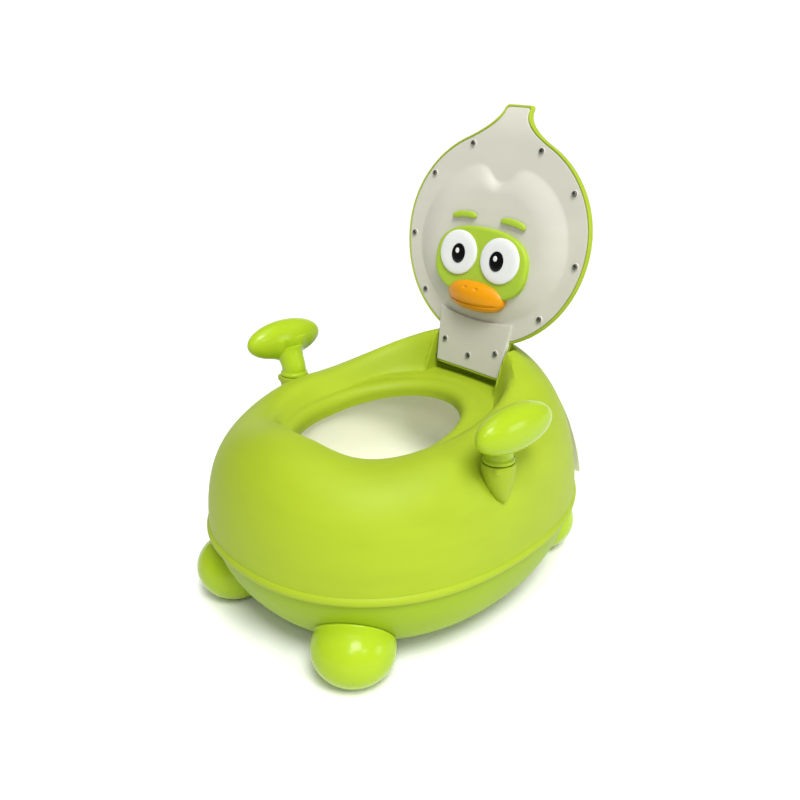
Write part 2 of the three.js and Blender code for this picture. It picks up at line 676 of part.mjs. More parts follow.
/** The white inner panel: a flat rim, the raised pillow, and a thicker block over the neck. */
function lidPanel() {
  const inset = lidWall + fit;
  const front = () => faceOffset - 0.2;
  const back = () => faceOffset - panelThickness;
  const shares = [0.4, 0.8];
  let body = skin([lidRing(inset, 0, back), ...shares.map((share) => lidRing(inset, share, back)),
    lidRing(inset, 1, back), lidRing(inset, 1, front),
    ...shares.reverse().map((share) => lidRing(inset, share, front)), lidRing(inset, 0, front)], false);
  const neck = new THREE.Shape();
  neck.moveTo(-neckHalfBottom, neckBottom);
  neck.lineTo(neckHalfBottom, neckBottom);
  neck.lineTo(neckHalfTop + 3, neckTopV + 19);
  neck.quadraticCurveTo(0, neckTopV + 13, -neckHalfTop - 3, neckTopV + 19);
  const block = new THREE.ExtrudeGeometry(neck, { depth: neckBlock + 1, bevelEnabled: false, curveSegments: 10 });
  block.translate(0, 0, faceOffset - 1);
  body = body.add(solid(block)).add(pillow(0)).subtract(pillow(panelThickness));
  body = body.subtract(crossBar(pinRadius + fit, -60, 60, 0, 0));
  body = body.subtract(crossBar(baseKnuckleRadius + fit, -baseKnuckleHalf - fit, baseKnuckleHalf + fit, 0, 0));
  for (const [x, v] of [...rimScrews, ...neckScrews]) {
    body = body.subtract(bar(lidScrewHole, x, v, -9, 20, lidScrewHole, 8).translate([0, 0, curl(v)]));
  }
  return standUp(body);
}

// ---- the bird's face on the lid ----
const faceZ = faceOffset + pillowHeight + fit;

/** A domed button: a superellipse outline with a flat back and a rounded front. */
function button([x, v, z], [halfAcross, halfUp], [edge, height], exponent = 2, flat = 0.5) {
  const ring = (share, depth) => sweep(20, (angle) => [
    x + halfAcross * share * signedPower(Math.cos(angle), 2 / exponent),
    v + halfUp * share * signedPower(Math.sin(angle), 2 / exponent), z + depth]);
  return skin([ring(0, 0), ring(1, 0), ring(1, edge), ring((1 + flat) / 2, (edge + 2 * height) / 3),
    ring(flat, height), ring(0, height)], false);
}

const plateThick = 2.8;
const eyePlace = [26.5, lidCentre - 21.7];
const eyeHalf = [23.5, 21.5];
const pupilPlace = [24.5, lidCentre - 22.5];
const eyeHeight = 2.6;
const beakPlace = [2, lidCentre - 59.5];
const beakHalf = [35, 14.5];

function beak(grow) {
  return button([...beakPlace, faceZ - grow], beakHalf.map((half) => half + grow), [4, 13 + grow], 2.2, 0.3);
}

function faceDisc() {
  return button([0, lidCentre - 28, faceZ], [57.5, 34], [plateThick - 1, plateThick], 2.6, 0.9).subtract(beak(fit));
}

/** A short arched brow: a ring segment with rounded corners. */
function brow() {
  const shape = new THREE.Shape();
  shape.absarc(0, -58, 62, 1.3, Math.PI - 1.3, false);
  shape.absarc(0, -58, 56, Math.PI - 1.33, 1.33, true);
  const geometry = new THREE.ExtrudeGeometry(shape, { depth: 4, bevelEnabled: false, curveSegments: 8 });
  return solid(geometry.translate(0, 0, faceZ)).rotate([0, 0, -6]).translate([31, lidCentre + 14, 0]);
}

// ---- the assembly ----
part('upper_shell', upperShell(), colours.body);
part('base_shell', baseShell(), colours.base);

const pad = bar(padRadius, 0, 0, 0, padThickness, padRadius, 14);
const footScrew = screw(footScrewHead, 2.6, 1.7, 38).translate([0, 0, footScrewSeatZ - fit]);
const sides = [['right', (body) => body], ['left', mirrored]];
for (const [end, place, [screwX, screwY]] of [
  ['front', frontFoot, frontFootScrew], ['rear', rearFoot, rearFootScrew]]) {
  for (const [side, turn] of sides) {
    part(`foot_${end}_${side}`, turn(foot(place, [screwX, screwY])), colours.gloss);
    part(`foot_pad_${end}_${side}`, turn(pad.translate([...place, 0])), colours.rubber);
    part(`foot_screw_${end}_${side}`, turn(footScrew.translate([screwX, screwY, 0])), colours.steel);
  }
}

const shellScrew = screw(3.7, 2.4, 1.7, 15).translate([0, 0, postFloorZ - 3 - fit]);
for (const [i, [x, y]] of screwPosts.entries()) {
  for (const [side, turn] of sides) {
    part(`shell_screw_${['front', 'middle', 'rear'][i]}_${side}`, turn(shellScrew.translate([x, y, 0])),
      colours.steel);
  }
}

part('pot_bowl', pot(), colours.ivory);
part('pot_pull_plate', plateBody(0, plateThickness).subtract(plateScrewHole(plateScrewX))
  .subtract(plateScrewHole(-plateScrewX)), colours.ivory);
for (const [side, turn] of sides) {
  const place = [plateScrewX, plateY(plateScrewX, tongueShare) + plateThickness + 1.8, tongueMiddleZ];
  part(`pull_plate_screw_${side}`, turn(screw(3.4, 2, 1.6, 16).rotate([90, 0, 0]).translate(place)), colours.steel);
  part(`handle_${side}`, turn(handle()), colours.gloss);
}

part('hinge_pin', crossBar(pinRadius, -pinHalfLength, pinHalfLength, hingeY, hingeZ), colours.steel);
part('lid_outer_shell', lidShell(), colours.body, lid);
part('lid_inner_panel', lidPanel(), colours.ivory, lid);
part('face_plate', standUp(faceDisc()), colours.brow, lid);
part('beak', standUp(beak(0)), colours.beak, lid);
for (const [side, turn] of sides) {
  const eye = button([...eyePlace, faceZ + plateThick + fit], eyeHalf, [1.2, eyeHeight], 2, 0.72);
  const pupil = button([...pupilPlace, faceZ + plateThick + eyeHeight + 2 * fit], [8.5, 9.5], [0.8, 1.3], 2, 0.6);
  part(`eye_${side}`, standUp(turn(eye)), colours.white, lid);
  part(`pupil_${side}`, standUp(turn(pupil)), colours.black, lid);
  part(`brow_${side}`, standUp(turn(brow())), colours.brow, lid);
}

const lidScrew = screw(2.6, 1.3, 1.2, lidScrewLength - fit).rotate([180, 0, 0]);
for (const [i, [x, v]] of rimScrews.entries()) {
  part(`lid_rim_screw_${i + 1}`, standUp(lidScrew.translate([x, v, faceOffset + fit + curl(v)])), colours.steel, lid);
}
for (const [i, [x, v]] of neckScrews.entries()) {
  part(`lid_neck_screw_${i + 1}`, standUp(lidScrew.translate([x, v, faceOffset + neckBlock + fit])),
    colours.steel, lid);
}

export default group;
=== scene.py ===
"""Looks of the potty chair: moulded green shells, gloss feet and handles, white pot and a bird-faced lid."""

import json
import math

import bpy
import numpy as np
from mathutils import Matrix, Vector


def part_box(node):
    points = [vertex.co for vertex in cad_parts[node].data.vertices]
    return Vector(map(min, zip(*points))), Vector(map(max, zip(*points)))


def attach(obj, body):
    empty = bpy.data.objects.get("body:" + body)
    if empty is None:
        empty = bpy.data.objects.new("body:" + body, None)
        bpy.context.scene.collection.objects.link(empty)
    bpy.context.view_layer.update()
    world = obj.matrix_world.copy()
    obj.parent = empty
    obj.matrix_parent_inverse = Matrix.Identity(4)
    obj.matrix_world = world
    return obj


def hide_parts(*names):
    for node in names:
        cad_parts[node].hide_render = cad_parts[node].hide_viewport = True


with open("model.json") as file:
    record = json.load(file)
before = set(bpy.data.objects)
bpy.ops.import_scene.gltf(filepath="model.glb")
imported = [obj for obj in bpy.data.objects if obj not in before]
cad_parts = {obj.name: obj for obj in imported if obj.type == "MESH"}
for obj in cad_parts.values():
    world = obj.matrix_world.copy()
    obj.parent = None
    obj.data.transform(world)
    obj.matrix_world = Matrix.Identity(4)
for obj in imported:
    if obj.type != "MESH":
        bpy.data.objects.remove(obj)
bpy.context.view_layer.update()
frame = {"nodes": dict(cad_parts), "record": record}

MM = 0.001
MIDDLE_Y = -11.87                      # the plan curves' origin, measured from the chair's middle

BEAD_HALF = (150, 189)                 # half width and half length of the bead
BEAD_EXPONENT = 2.19
BEAD_EGG = 0.09
BEAD_Z = 89.3
SEAT_HALF = (68.9, 80.7, 90)           # across, to the front and to the back
SEAT_Y = -34.5
CREST_Z = 194.1                        # the crest's height at the sides
SHOULDER_RISE = 43.3
FRONT_RISE = 3.6
CORNER_DIP = 9.8
DECK_Z = 179.3                         # the deck's height at the sides
DECK_REAR_RISE = 11.7
DECK_FRONT_DROP = 3.8
HINGE = (91.65, 204.1)
LEAN = math.radians(11.93)
NOTCH_HALF = 47
NOTCH_FLOOR = 195
NOTCH_BACK = 98
BASE_FLOOR = 18
FOOT_RADIUS = 36.7
FOOT_HALF_HEIGHT = 31.9
SOLE_Z = 1.6                           # the ball is flat below this height
SOCKET = (139.5, -22.9, 186)
UPPER_WALL = 1.8
BASE_WALL = 2.8
GRIP_HALF = (15.3, 43.6, 19.8)
BAY_HALF = 79.5                        # opening at the back that the pot slides through
BAY_FRONT = 112
BAY_BACK = 260                         # past the shell, so that the cut is open behind
BAY_BOTTOM = 94.5
BAY_TOP = 175
LID_CENTRE = 130
LID_HALF = 113
LID_DOWN = 106
LID_UP = 98.5
FACE_OUT = 3                           # hinge axis to the lid's inner face
NECK_BOTTOM = -3.9
NECK_HALF = (41.5, 44.5)
TAB_HALF = 16.5
TAB_TOP = 252
PILLOW_HALF = 93
PILLOW_MIDDLE = 120
PILLOW_REACH = (75, 82)                # down and up
PILLOW_HEIGHT = 6.4


# ---- making meshes ----
def millimetres(corner):
    return np.array(corner) / MM


def node_box(name):
    """Lowest and highest corner of one of the part's nodes, in millimetres."""
    low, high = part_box(name)
    return millimetres(low), millimetres(high)


def middle(name):
    low, high = node_box(name)
    return (low + high) / 2


def signed_power(value, power):
    return np.sign(value) * np.abs(value) ** power


def smooth(t):
    t = np.clip(t, 0, 1)
    return t * t * (3 - 2 * t)


def quads(rows, columns, wrap):
    """Corner indices of the quads of a grid; wrap joins its last column to its first."""
    i, j = np.meshgrid(np.arange(rows - 1), np.arange(columns if wrap else columns - 1), indexing="ij")
    k = (j + 1) % columns
    corners = [i * columns + j, i * columns + k, (i + 1) * columns + k, (i + 1) * columns + j]
    return np.stack(corners, -1).reshape(-1, 4)


def fan(row, centre, backwards):
    """Triangles from one row of a grid to a single point."""
    after = np.roll(row, -1)
    triangle = np.stack([row, after, np.full_like(row, centre)], -1)
    return triangle[:, ::-1] if backwards else triangle


class Solid:
    """Points and faces of one closed piece, gathered from grids."""

    def __init__(self):
        self.points, self.faces, self.count = [], [], 0

    def add(self, points, faces):
        self.points.append(points.reshape(-1, 3))
        self.faces += [(np.asarray(f) + self.count).tolist() for f in faces]
        self.count += len(self.points[-1])
        return self

    def tube(self, grid):
        """A grid of rings whose first and last ring are closed by a point in their middle."""
        rows, columns = grid.shape[:2]
        points = np.concatenate([grid.reshape(-1, 3), grid[:1].mean(1), grid[-1:].mean(1)])
        first = fan(np.arange(columns), rows * columns, True)
        last = fan(np.arange(columns) + (rows - 1) * columns, rows * columns + 1, False)
        return self.add(*outward(points, [quads(rows, columns, True), first, last]))

    def loop(self, grid):
        """A grid that closes on itself both ways, such as a ring."""
        rows, columns = grid.shape[:2]
        first, last = np.arange(columns), np.arange(columns) + (rows - 1) * columns
        seam = np.stack([last, np.roll(last, -1), np.roll(first, -1), first], -1)
        closed = np.concatenate([quads(rows, columns, True), seam])
        return self.add(*outward(grid.reshape(-1, 3), [closed]))

    def wall(self, grid, thickness, pole=False):
        """A closed double wall: the grid and a copy moved inwards; pole closes the first row."""
        inner = grid - grid_normals(grid) * thickness
        if not pole:
            return self.loop(np.concatenate([grid, inner[::-1]]))
        return self.tube(np.concatenate([grid, inner[::-1]]))


def grid_normals(grid):
    """Unit normals of a wrapped grid of rings, from the cross product of its two directions."""
    along = np.gradient(grid, axis=0)
    around = np.roll(grid, -1, 1) - np.roll(grid, 1, 1)
    normal = np.cross(around, along)
    return normal / np.maximum(np.linalg.norm(normal, axis=-1, keepdims=True), 1e-9)


def outward(points, groups):
    """Turns all faces round if the volume that they enclose comes out negative."""
    volume = 0
    for faces in groups:
        for k in range(1, faces.shape[1] - 1):
            a, b, c = points[faces[:, 0]], points[faces[:, k]], points[faces[:, k + 1]]
            volume += (a * np.cross(b, c)).sum()
    turned = [faces[:, ::-1] if volume < 0 else faces for faces in groups]
    return points, [face for faces in turned for face in faces]


def piece(name, solid, body, slot, replaces=(), sharp=35):
    """A finished object from a Solid in millimetres, with its finish, riding on a body."""
    mesh = bpy.data.meshes.new(name)
    mesh.from_pydata((np.concatenate(solid.points) * MM).tolist(), [], solid.faces)
    mesh.polygons.foreach_set("use_smooth", np.ones(len(mesh.polygons), bool))
    mesh.set_sharp_from_angle(angle=math.radians(sharp))
    thing = bpy.data.objects.new(name, mesh)
    bpy.context.scene.collection.objects.link(thing)
    mesh.materials.append(finishes[slot])
    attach(thing, body)
    if replaces:
        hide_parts(*replaces)
    return thing


def ring_angles(count):
    return np.arange(count) * 2 * np.pi / count


def turned(profile, sides=48):
    """A profile of (radius, height) turned round the upright axis."""
    profile = np.array(profile, float)
    a = ring_angles(sides)
    return np.stack([profile[:, :1] * np.cos(a), profile[:, :1] * np.sin(a), profile[:, 1:] + 0 * a], -1)


def rounded(points, steps=5, share=0.35):
    """Rounds the corners of an open profile: each inner corner becomes a quadratic curve."""
    points = np.array(points, float)
    out = [points[:1]]
    for before, corner, after in zip(points[:-2], points[1:-1], points[2:]):
        start, end = corner + (before - corner) * share, corner + (after - corner) * share
        t = np.linspace(0, 1, steps)[:, None]
        out.append((1 - t) ** 2 * start + 2 * t * (1 - t) * corner + t * t * end)
    return np.concatenate(out + [points[-1:]])


# ---- finishes ----
class Field:
    """A value that varies over a surface; sums and products on it add Math nodes."""

    def __init__(self, finish, socket):
        self.finish, self.socket = finish, socket

    def _join(self, operation, a, b):
        return self.finish.node("ShaderNodeMath", {"operation": operation}, {0: a, 1: b})

    def __add__(self, other): return self._join("ADD", self, other)
    def __radd__(self, other): return self._join("ADD", other, self)
    def __sub__(self, other): return self._join("SUBTRACT", self, other)
    def __rsub__(self, other): return self._join("SUBTRACT", other, self)
    def __mul__(self, other): return self._join("MULTIPLY", self, other)
    def __rmul__(self, other): return self._join("MULTIPLY", other, self)
    def __truediv__(self, other): return self._join("DIVIDE", self, other)
    def __pow__(self, other): return self._join("POWER", self, other)


class Finish:
    """A material and its node tree."""

    def __init__(self, name):
        self.material = bpy.data.materials.new(name)
        self.material.use_nodes = True
        self.tree = self.material.node_tree
        self.shader = self.tree.nodes["Principled BSDF"]
        self.place = self.node("ShaderNodeTexCoord", {}, {}, "Object")

    def node(self, kind, settings, values, output=0):
        """Adds a node: its settings first, then numbers or links on its sockets."""
        node = self.tree.nodes.new(kind)
        for key, value in settings.items():
            setattr(node, key, value)
        for key, value in values.items():
            self.feed(node.inputs[key], value)
        return Field(self, node.outputs[output])

    def feed(self, socket, value):
        if isinstance(value, Field):
            self.tree.links.new(value.socket, socket)
        else:
            socket.default_value = value

    def noise(self, scale, detail=3, roughness=0.5, stretch=None):
        place = self.place
        if stretch:
            place = self.node("ShaderNodeMapping", {}, {"Vector": place, "Scale": stretch})
        return self.node("ShaderNodeTexNoise", {},
            {"Vector": place, "Scale": scale, "Detail": detail, "Roughness": roughness})

    def between(self, value, low, high, to_low=0.0, to_high=1.0):
        """Maps a value from one range to another with soft ends."""
        return self.node("ShaderNodeMapRange", {"interpolation_type": "SMOOTHSTEP"},
            {"Value": value, "From Min": low, "From Max": high, "To Min": to_low, "To Max": to_high})

    def mix(self, share, a, b):
        return self.node("ShaderNodeMix", {"data_type": "RGBA"}, {"Factor": share, 6: a, 7: b}, 2)

    def set(self, **values):
        for key, value in values.items():
            self.feed(self.shader.inputs[key.replace("_", " ")], value)

    def bump(self, height, distance, strength=1.0, under=None):
        values = {"Height": height, "Distance": distance, "Strength": strength}
        if under is not None:
            values["Normal"] = under
        return self.node("ShaderNodeBump", {}, values)


def linear(red, green, blue, share=1.0):
    """A colour given in display steps from 0 to 255, as linear light with full alpha."""
    steps = np.array([red, green, blue]) / 255
    light = np.where(steps <= 0.04045, steps / 12.92, ((steps + 0.055) / 1.055) ** 2.4) * share
    return (*light.tolist(), 1.0)


def moulded(name, colour, roughness, grain=0.00006, coat=0.0, tint=0.93, shine=0.5):
    """Injection-moulded plastic: spark-eroded grain, faint flow marks, and slow shifts of shade and gloss."""
    finish = Finish(name)
    slow = finish.noise(7, 3, 0.55)
    flow = finish.noise(14, 4, 0.6, stretch=(1, 1, 5))
    speck = finish.noise(950, 2, 0.5)
    dark = linear(*colour, share=tint)
    light = linear(*colour, share=1.03)
    finish.set(Base_Color=finish.mix(finish.between(slow * 0.7 + flow * 0.3, 0.36, 0.64), dark, light))
    finish.set(Roughness=roughness + (flow - 0.5) * 0.1 + (speck - 0.5) * 0.05)
    orange_peel = finish.bump(finish.noise(160, 2), 0.00005, 0.4)
    finish.set(Normal=finish.bump(speck, grain, 0.5, under=orange_peel))
    finish.shader.inputs["Coat Weight"].default_value = coat
    finish.shader.inputs["Coat Roughness"].default_value = 0.06
    finish.shader.inputs["IOR"].default_value = 1.49
    finish.shader.inputs["Specular IOR Level"].default_value = shine
    return finish.material


def let_light_through(material):
    """Thin translucent plastic: light spreads inside it, and a faint glow stands for what comes through."""
    sockets = material.node_tree.nodes["Principled BSDF"].inputs
    sockets["Subsurface Weight"].default_value = 0.6
    sockets["Subsurface Radius"].default_value = (1, 1, 0.8)
    sockets["Subsurface Scale"].default_value = 0.005
    sockets["Emission Color"].default_value = (1, 1, 0.72, 1)
    sockets["Emission Strength"].default_value = 0.17


def zinc(name):
    """Zinc-plated screw steel: fine turning marks, blotched gloss and dark blotches."""
    finish = Finish(name)
    brushed = finish.noise(2400, 2, 0.5, stretch=(1, 1, 0.15))
    blotch = finish.noise(420, 3, 0.6)
    patches = finish.between(blotch, 0.35, 0.65)
    finish.set(Base_Color=finish.mix(patches, linear(88, 90, 88), linear(150, 151, 146)))
    finish.set(Metallic=0.92, Roughness=0.24 + blotch * 0.22)
    finish.set(Normal=finish.bump(brushed, 0.00003, 0.6))
    return finish.material


def rubber(name):
    """Soft matt sole with a fine pebble and rubbed patches."""
    finish = Finish(name)
    pebble = finish.node("ShaderNodeTexVoronoi", {}, {"Vector": finish.place, "Scale": 1300})
    worn = finish.noise(240, 4, 0.6)
    rubbed = finish.between(worn, 0.4, 0.62)
    finish.set(Base_Color=finish.mix(rubbed, linear(92, 101, 70), linear(116, 124, 92)))
    finish.set(Roughness=0.78 + (worn - 0.5) * 0.2)
    finish.set(Normal=finish.bump(pebble, 0.0001, 0.7))
    return finish.material


finishes = {
    "body_green": moulded("moulded_body_green", (153, 174, 36), 0.5, shine=0.18),
    "base_green": moulded("moulded_base_green", (141, 168, 20), 0.48, shine=0.22),
    "gloss_green": moulded("polished_green", (158, 185, 34), 0.2, grain=0.00001, shine=0.18),
    "ivory_plastic": moulded("moulded_ivory", (197, 195, 182), 0.42, tint=0.96, shine=0.3),
    "pot_white": moulded("moulded_pot_white", (208, 210, 190), 0.34, tint=0.97, shine=0.3),
    "eye_white": moulded("polished_eye_white", (222, 224, 222), 0.16, grain=0.00001, tint=0.97, shine=0.4),
    "pupil_black": moulded("polished_pupil_black", (8, 8, 9), 0.14, grain=0.00001, shine=0.2),
    "bill_orange": moulded("satin_bill_orange", (220, 146, 2), 0.34, tint=0.92, shine=0.3),
    "face_green": moulded("moulded_face_green", (162, 190, 52), 0.4, shine=0.3),
    "rubber_pad": rubber("rubber_sole"),
    "screw_steel": zinc("zinc_plated_steel"),
}
let_light_through(finishes["pot_white"])
slots = {part["node"]: part["material_slot"] for part in frame["record"]["subparts"]}
for name, node in frame["nodes"].items():
    node.data.materials.clear()
    node.data.materials.append(finishes[slots[name]])


# ---- plan curves of the body ----
def bead(angle):
    """Egg-shaped superellipse: widest in front, narrower at the back."""
    across = signed_power(np.cos(angle), 2 / BEAD_EXPONENT)
    along = signed_power(np.sin(angle), 2 / BEAD_EXPONENT)
    return np.stack([BEAD_HALF[0] * across * (1 - BEAD_EGG * along), BEAD_HALF[1] * along], -1)


def seat(angle):
    reach = np.where(np.sin(angle) > 0, SEAT_HALF[2], SEAT_HALF[1])
    return np.stack([SEAT_HALF[0] * np.cos(angle), SEAT_Y + reach * np.sin(angle)], -1)


def placed(angle, distance, height):
    """Points at a distance from the seat's edge towards the bead, for each angle, at a height."""
    start, end = seat(angle)[None], bead(angle)[None]
    length = np.linalg.norm(end - start, axis=-1, keepdims=True)
    plan = start + (end - start) * distance[..., None] / length
    return np.concatenate([plan, height[..., None]], -1) + (0, MIDDLE_Y, 0)


# ---- upper shell ----
def crown(angle):
    """
    The shell's height over its distance from the seat's edge, closely sampled: a flat deck, an S-curve
    up to the crest, and a superellipse down to the bead. The crest is low at the sides, dips at the
    front corners, rises a little at the front and much at the two shoulders behind.
    """
    length = np.linalg.norm(bead(angle) - seat(angle), axis=-1)
    rear, front, side = np.maximum(np.sin(angle), 0), np.maximum(-np.sin(angle), 0), np.cos(angle)
    corner = 4 * front ** 2 * (1 - front ** 2)
    crest_z = CREST_Z + SHOULDER_RISE * rear ** 1.6 + FRONT_RISE * front ** 2 - CORNER_DIP * corner
    deck_z = DECK_Z + DECK_REAR_RISE * rear - DECK_FRONT_DROP * front
    roll = 8 - 4 * front ** 2
    foot = np.maximum(length * (0.1 + 0.16 * rear ** 2 + 0.6 * rear ** 2 * side ** 4), roll + 1)
    share = 0.374 - 0.227 * front ** 2 - 0.044 * rear ** 2 + 0.3 * (rear * side) ** 2
    crest = np.maximum(length * share, foot + 5)
    power = 2.34 - 0.69 * rear ** 1.2
    t = np.linspace(0, 1, 40)[:, None]
    turn = np.linspace(0, np.pi / 2, 180)[1:, None]
    wall_foot, wall_foot_z = length - 1.6, BEAD_Z + 3
    distance = np.concatenate([roll + (foot - roll) * t[:-1], foot + (crest - foot) * t,
        crest + (wall_foot - crest) * np.sin(turn) ** (2 / power)])
    step = 1.3 * smooth((distance[:39] - 15) / 5) * rear
    height = np.concatenate([deck_z - 1.3 * rear + step, deck_z + (crest_z - deck_z) * smooth(t),
        wall_foot_z + (crest_z - wall_foot_z) * np.maximum(np.cos(turn), 0) ** (2 / power)])
    return length, deck_z, roll, distance, height


def out_of_notch(x, y, z):
    """Positive outside the notch: the greater of the ways past its sides and its leaning back, rounded."""
    past_side = np.abs(x) - NOTCH_HALF
    past_back = y - NOTCH_BACK - (z - NOTCH_FLOOR) * math.tan(LEAN)
    return (past_side + past_back + np.sqrt((past_side - past_back) ** 2 + 9)) / 2 - 0.6


def first_outside(gap, distance):
    """Where a gap first turns positive, between two samples; 0 if it never does or always is."""
    k = int((gap > 0).argmax())
    if k == 0:
        return 0
    return distance[k - 1] + (distance[k] - distance[k - 1]) * gap[k - 1] / (gap[k - 1] - gap[k])


def upper_angles():
    """Angles round the body, closer together where the notch's walls are."""
    right = np.concatenate([np.linspace(0, 47, 38, False), np.linspace(47, 58, 14, False),
        np.linspace(58, 74, 56, False), np.linspace(74, 90, 18, False)])
    return np.radians(np.concatenate([right, [90], 180 - right[:0:-1], np.linspace(180, 360, 150, False)]))


def upper_grid():
    """
    Rings from the skirt round the seat's edge, over the deck, up the notch's walls where there are
    any, over the crest and down to the bead, with an edge of 2 mm rounded at the notch's floor and top.
    """
    angle = upper_angles()
    length, deck_z, roll, dense, dense_z = crown(angle)
    edge = 2.2
    start, end = seat(angle), bead(angle)
    d0, d1 = np.zeros_like(angle), np.zeros_like(angle)
    for c in range(len(angle)):
        way = (end[c] - start[c]) / length[c]
        at = start[c] + way * dense[:, c, None]
        if start[c][1] > SEAT_Y:
            level, surface = np.full(len(at), deck_z[c]), np.maximum(dense_z[:, c], deck_z[c])
            d0[c] = first_outside(out_of_notch(*at.T, level), dense[:, c])
            d1[c] = first_outside(out_of_notch(*at.T, surface), dense[:, c])
    least = roll + edge + 1
    d0, d1 = np.maximum(d0, least), np.maximum(d1, least)

    def profile(d):
        return np.stack([np.interp(d[:, c], dense[:, c], dense_z[:, c]) for c in range(len(angle))], -1)

    rows, heights = [], []
    t = np.linspace(0, 1, 4)[:-1, None]
    rows.append(0 * t + 0 * angle)
    heights.append(deck_z - 14 + (14 - roll) * t)
    turn = np.linspace(0, np.pi / 2, 9)[:-1, None]
    sunk = 1.3 * np.maximum(np.sin(angle), 0)
    rows.append(roll * (1 - np.cos(turn)))
    heights.append(deck_z - sunk * np.sin(turn) - roll * (1 - np.sin(turn)))
    t = np.linspace(0, 1, 12)[:-1, None]
    flat = roll + (d0 - edge - roll) * t
    rows.append(flat)
    heights.append(np.minimum(profile(flat), deck_z))
    rise = profile(d1[None])[0] - deck_z
    weight = smooth(rise / 5)
    half = np.linspace(0, np.pi / 2, 10)
    up = np.concatenate([(1 - np.cos(half) ** 0.66) / 2, 0.5 + np.sin(half[1:]) ** 0.66 / 2])[:, None]
    lean = np.concatenate([np.sin(half) ** 0.66 - 1, 1 - np.cos(half[1:]) ** 0.66])[:, None] * edge
    far = np.linspace(0, 1, len(up))[:, None]
    plain = d0 - edge + (d1 - d0 + 2 * edge) * far
    bottom = np.minimum(profile((d0 - edge)[None]), deck_z)
    top = profile((d1 + edge)[None])
    plain_z = np.minimum(profile(plain), deck_z) * (1 - far) + profile(plain) * far
    rows.append((d0 + (d1 - d0) * up + lean) * weight + plain * (1 - weight))
    heights.append((bottom + (top - bottom) * up) * weight + plain_z * (1 - weight))
    over, over_z = [], []
    for c in range(len(angle)):
        d = np.concatenate([[d1[c] + edge], dense[dense[:, c] > d1[c] + edge + 0.01, c]])
        z = np.interp(d, dense[:, c], dense_z[:, c])
        run = np.concatenate([[0], np.cumsum(np.hypot(np.diff(d), np.diff(z)))])
        even = np.linspace(0, run[-1], 47)[1:]
        over.append(np.interp(even, run, d))
        over_z.append(np.interp(even, run, z))
    rows.append(np.array(over).T)
    heights.append(np.array(over_z).T)
    turn = np.linspace(-1.15, 1.35, 11)[:, None]
    rows.append(length - 2.4 + 3.1 * np.cos(turn))
    heights.append(BEAD_Z - 3.1 * np.sin(turn) + 0 * angle)
    rows.append(length - 4.2 + 0 * turn[:1])
    heights.append(BEAD_Z - 3.4 + 0 * angle[None])
    return placed(angle, np.concatenate(rows), np.concatenate(heights))


def swell_towards(grid, gap, reach):
    """Moves points outwards by reach / 4 * (1 - gap / reach)^2, which fillets the joint with a neighbour."""
    near = np.clip(1 - np.abs(gap) / reach, 0, 1) ** 2
    return grid + grid_normals(grid) * (near * reach / 4)[..., None]


def socket_shape(z):
    """Radius of a socket at a height, and how far its axis leans out and back as it tapers."""
    radius = np.interp(z, [134, 147, 150, 156, 168, 181, SOCKET[2], SOCKET[2] + 1],
        [-12, 1, 4, 8, 12.6, 15, 15, -10])
    return radius, 0.3 * np.clip(15 - radius, 0, 15)


def socket_gap(points):
    """Distance from the surface of either handle socket."""
    radius, lean = socket_shape(points[..., 2])
    x, y = np.abs(points[..., 0]) - SOCKET[0] - lean, points[..., 1] - SOCKET[1] - MIDDLE_Y - lean
    return np.hypot(x, y) - radius


upper = upper_grid()
upper = swell_towards(upper, socket_gap(upper), 11)

socket_profile = rounded([[0.01, 172], [12.4, 172], [12.4, 182], [13, SOCKET[2]], [15, SOCKET[2]], [15, 179],
    [12.6, 168], [8, 156], [4, 150], [0.01, 147]], 6, 0.42)
for side, sign in (("right", 1), ("left", -1)):
    socket = turned(socket_profile, 64)
    angle = ring_angles(64)
    lug = np.exp(-((np.angle(np.exp(1j * (angle + sign * 0.9 + (0 if sign > 0 else np.pi)))) / 0.16) ** 2))
    near_top = smooth((socket[..., 2] - 179) / 2) * (np.hypot(socket[..., 0], socket[..., 1]) > 14)
    socket[..., :2] *= (1 + 0.12 * lug * near_top)[..., None]
    lean = np.where(socket[..., 2] < 178, socket_shape(socket[..., 2])[1], 0)
    outside = np.hypot(socket[..., 0], socket[..., 1]) > 12.8
    lean = np.where(outside | (socket[..., 2] < 171), lean, 0)
    socket = socket + (sign * SOCKET[0], SOCKET[1] + MIDDLE_Y, 0) + lean[..., None] * (sign, 1, 0)
    piece(f"handle_socket_{side}", Solid().tube(socket), "body", "body_green", ["upper_shell"], sharp=50)


# ---- base shell ----
BASE_SHARE = [0.56, 0.66, 0.74, 0.83, 0.885, 0.92, 0.95, 0.972, 0.985]
BASE_HEIGHT = [18, 18.6, 21.5, 31, 41, 51, 62, 74, 86]


def base_share(height):
    """How far out the base's wall is at a height, as a share of the bead."""
    return np.interp(height, base_curve[:, 1], base_curve[:, 0])


def smooth_curve(xs, ys, steps=10):
    """A Catmull-Rom curve through given points."""
    p = np.stack([xs, ys], -1).astype(float)
    p = np.concatenate([[2 * p[0] - p[1]], p, [2 * p[-1] - p[-2]]])
    t = np.linspace(0, 1, steps, False)[:, None]
    out = [0.5 * (2 * b + (c - a) * t + (2 * a - 5 * b + 4 * c - d) * t ** 2
        + (3 * b - a - 3 * c + d) * t ** 3)
        for a, b, c, d in zip(p[:-3], p[1:-2], p[2:-1], p[3:])]
    return np.concatenate(out + [p[-2:-1]])


base_curve = smooth_curve(BASE_SHARE, BASE_HEIGHT, 6)


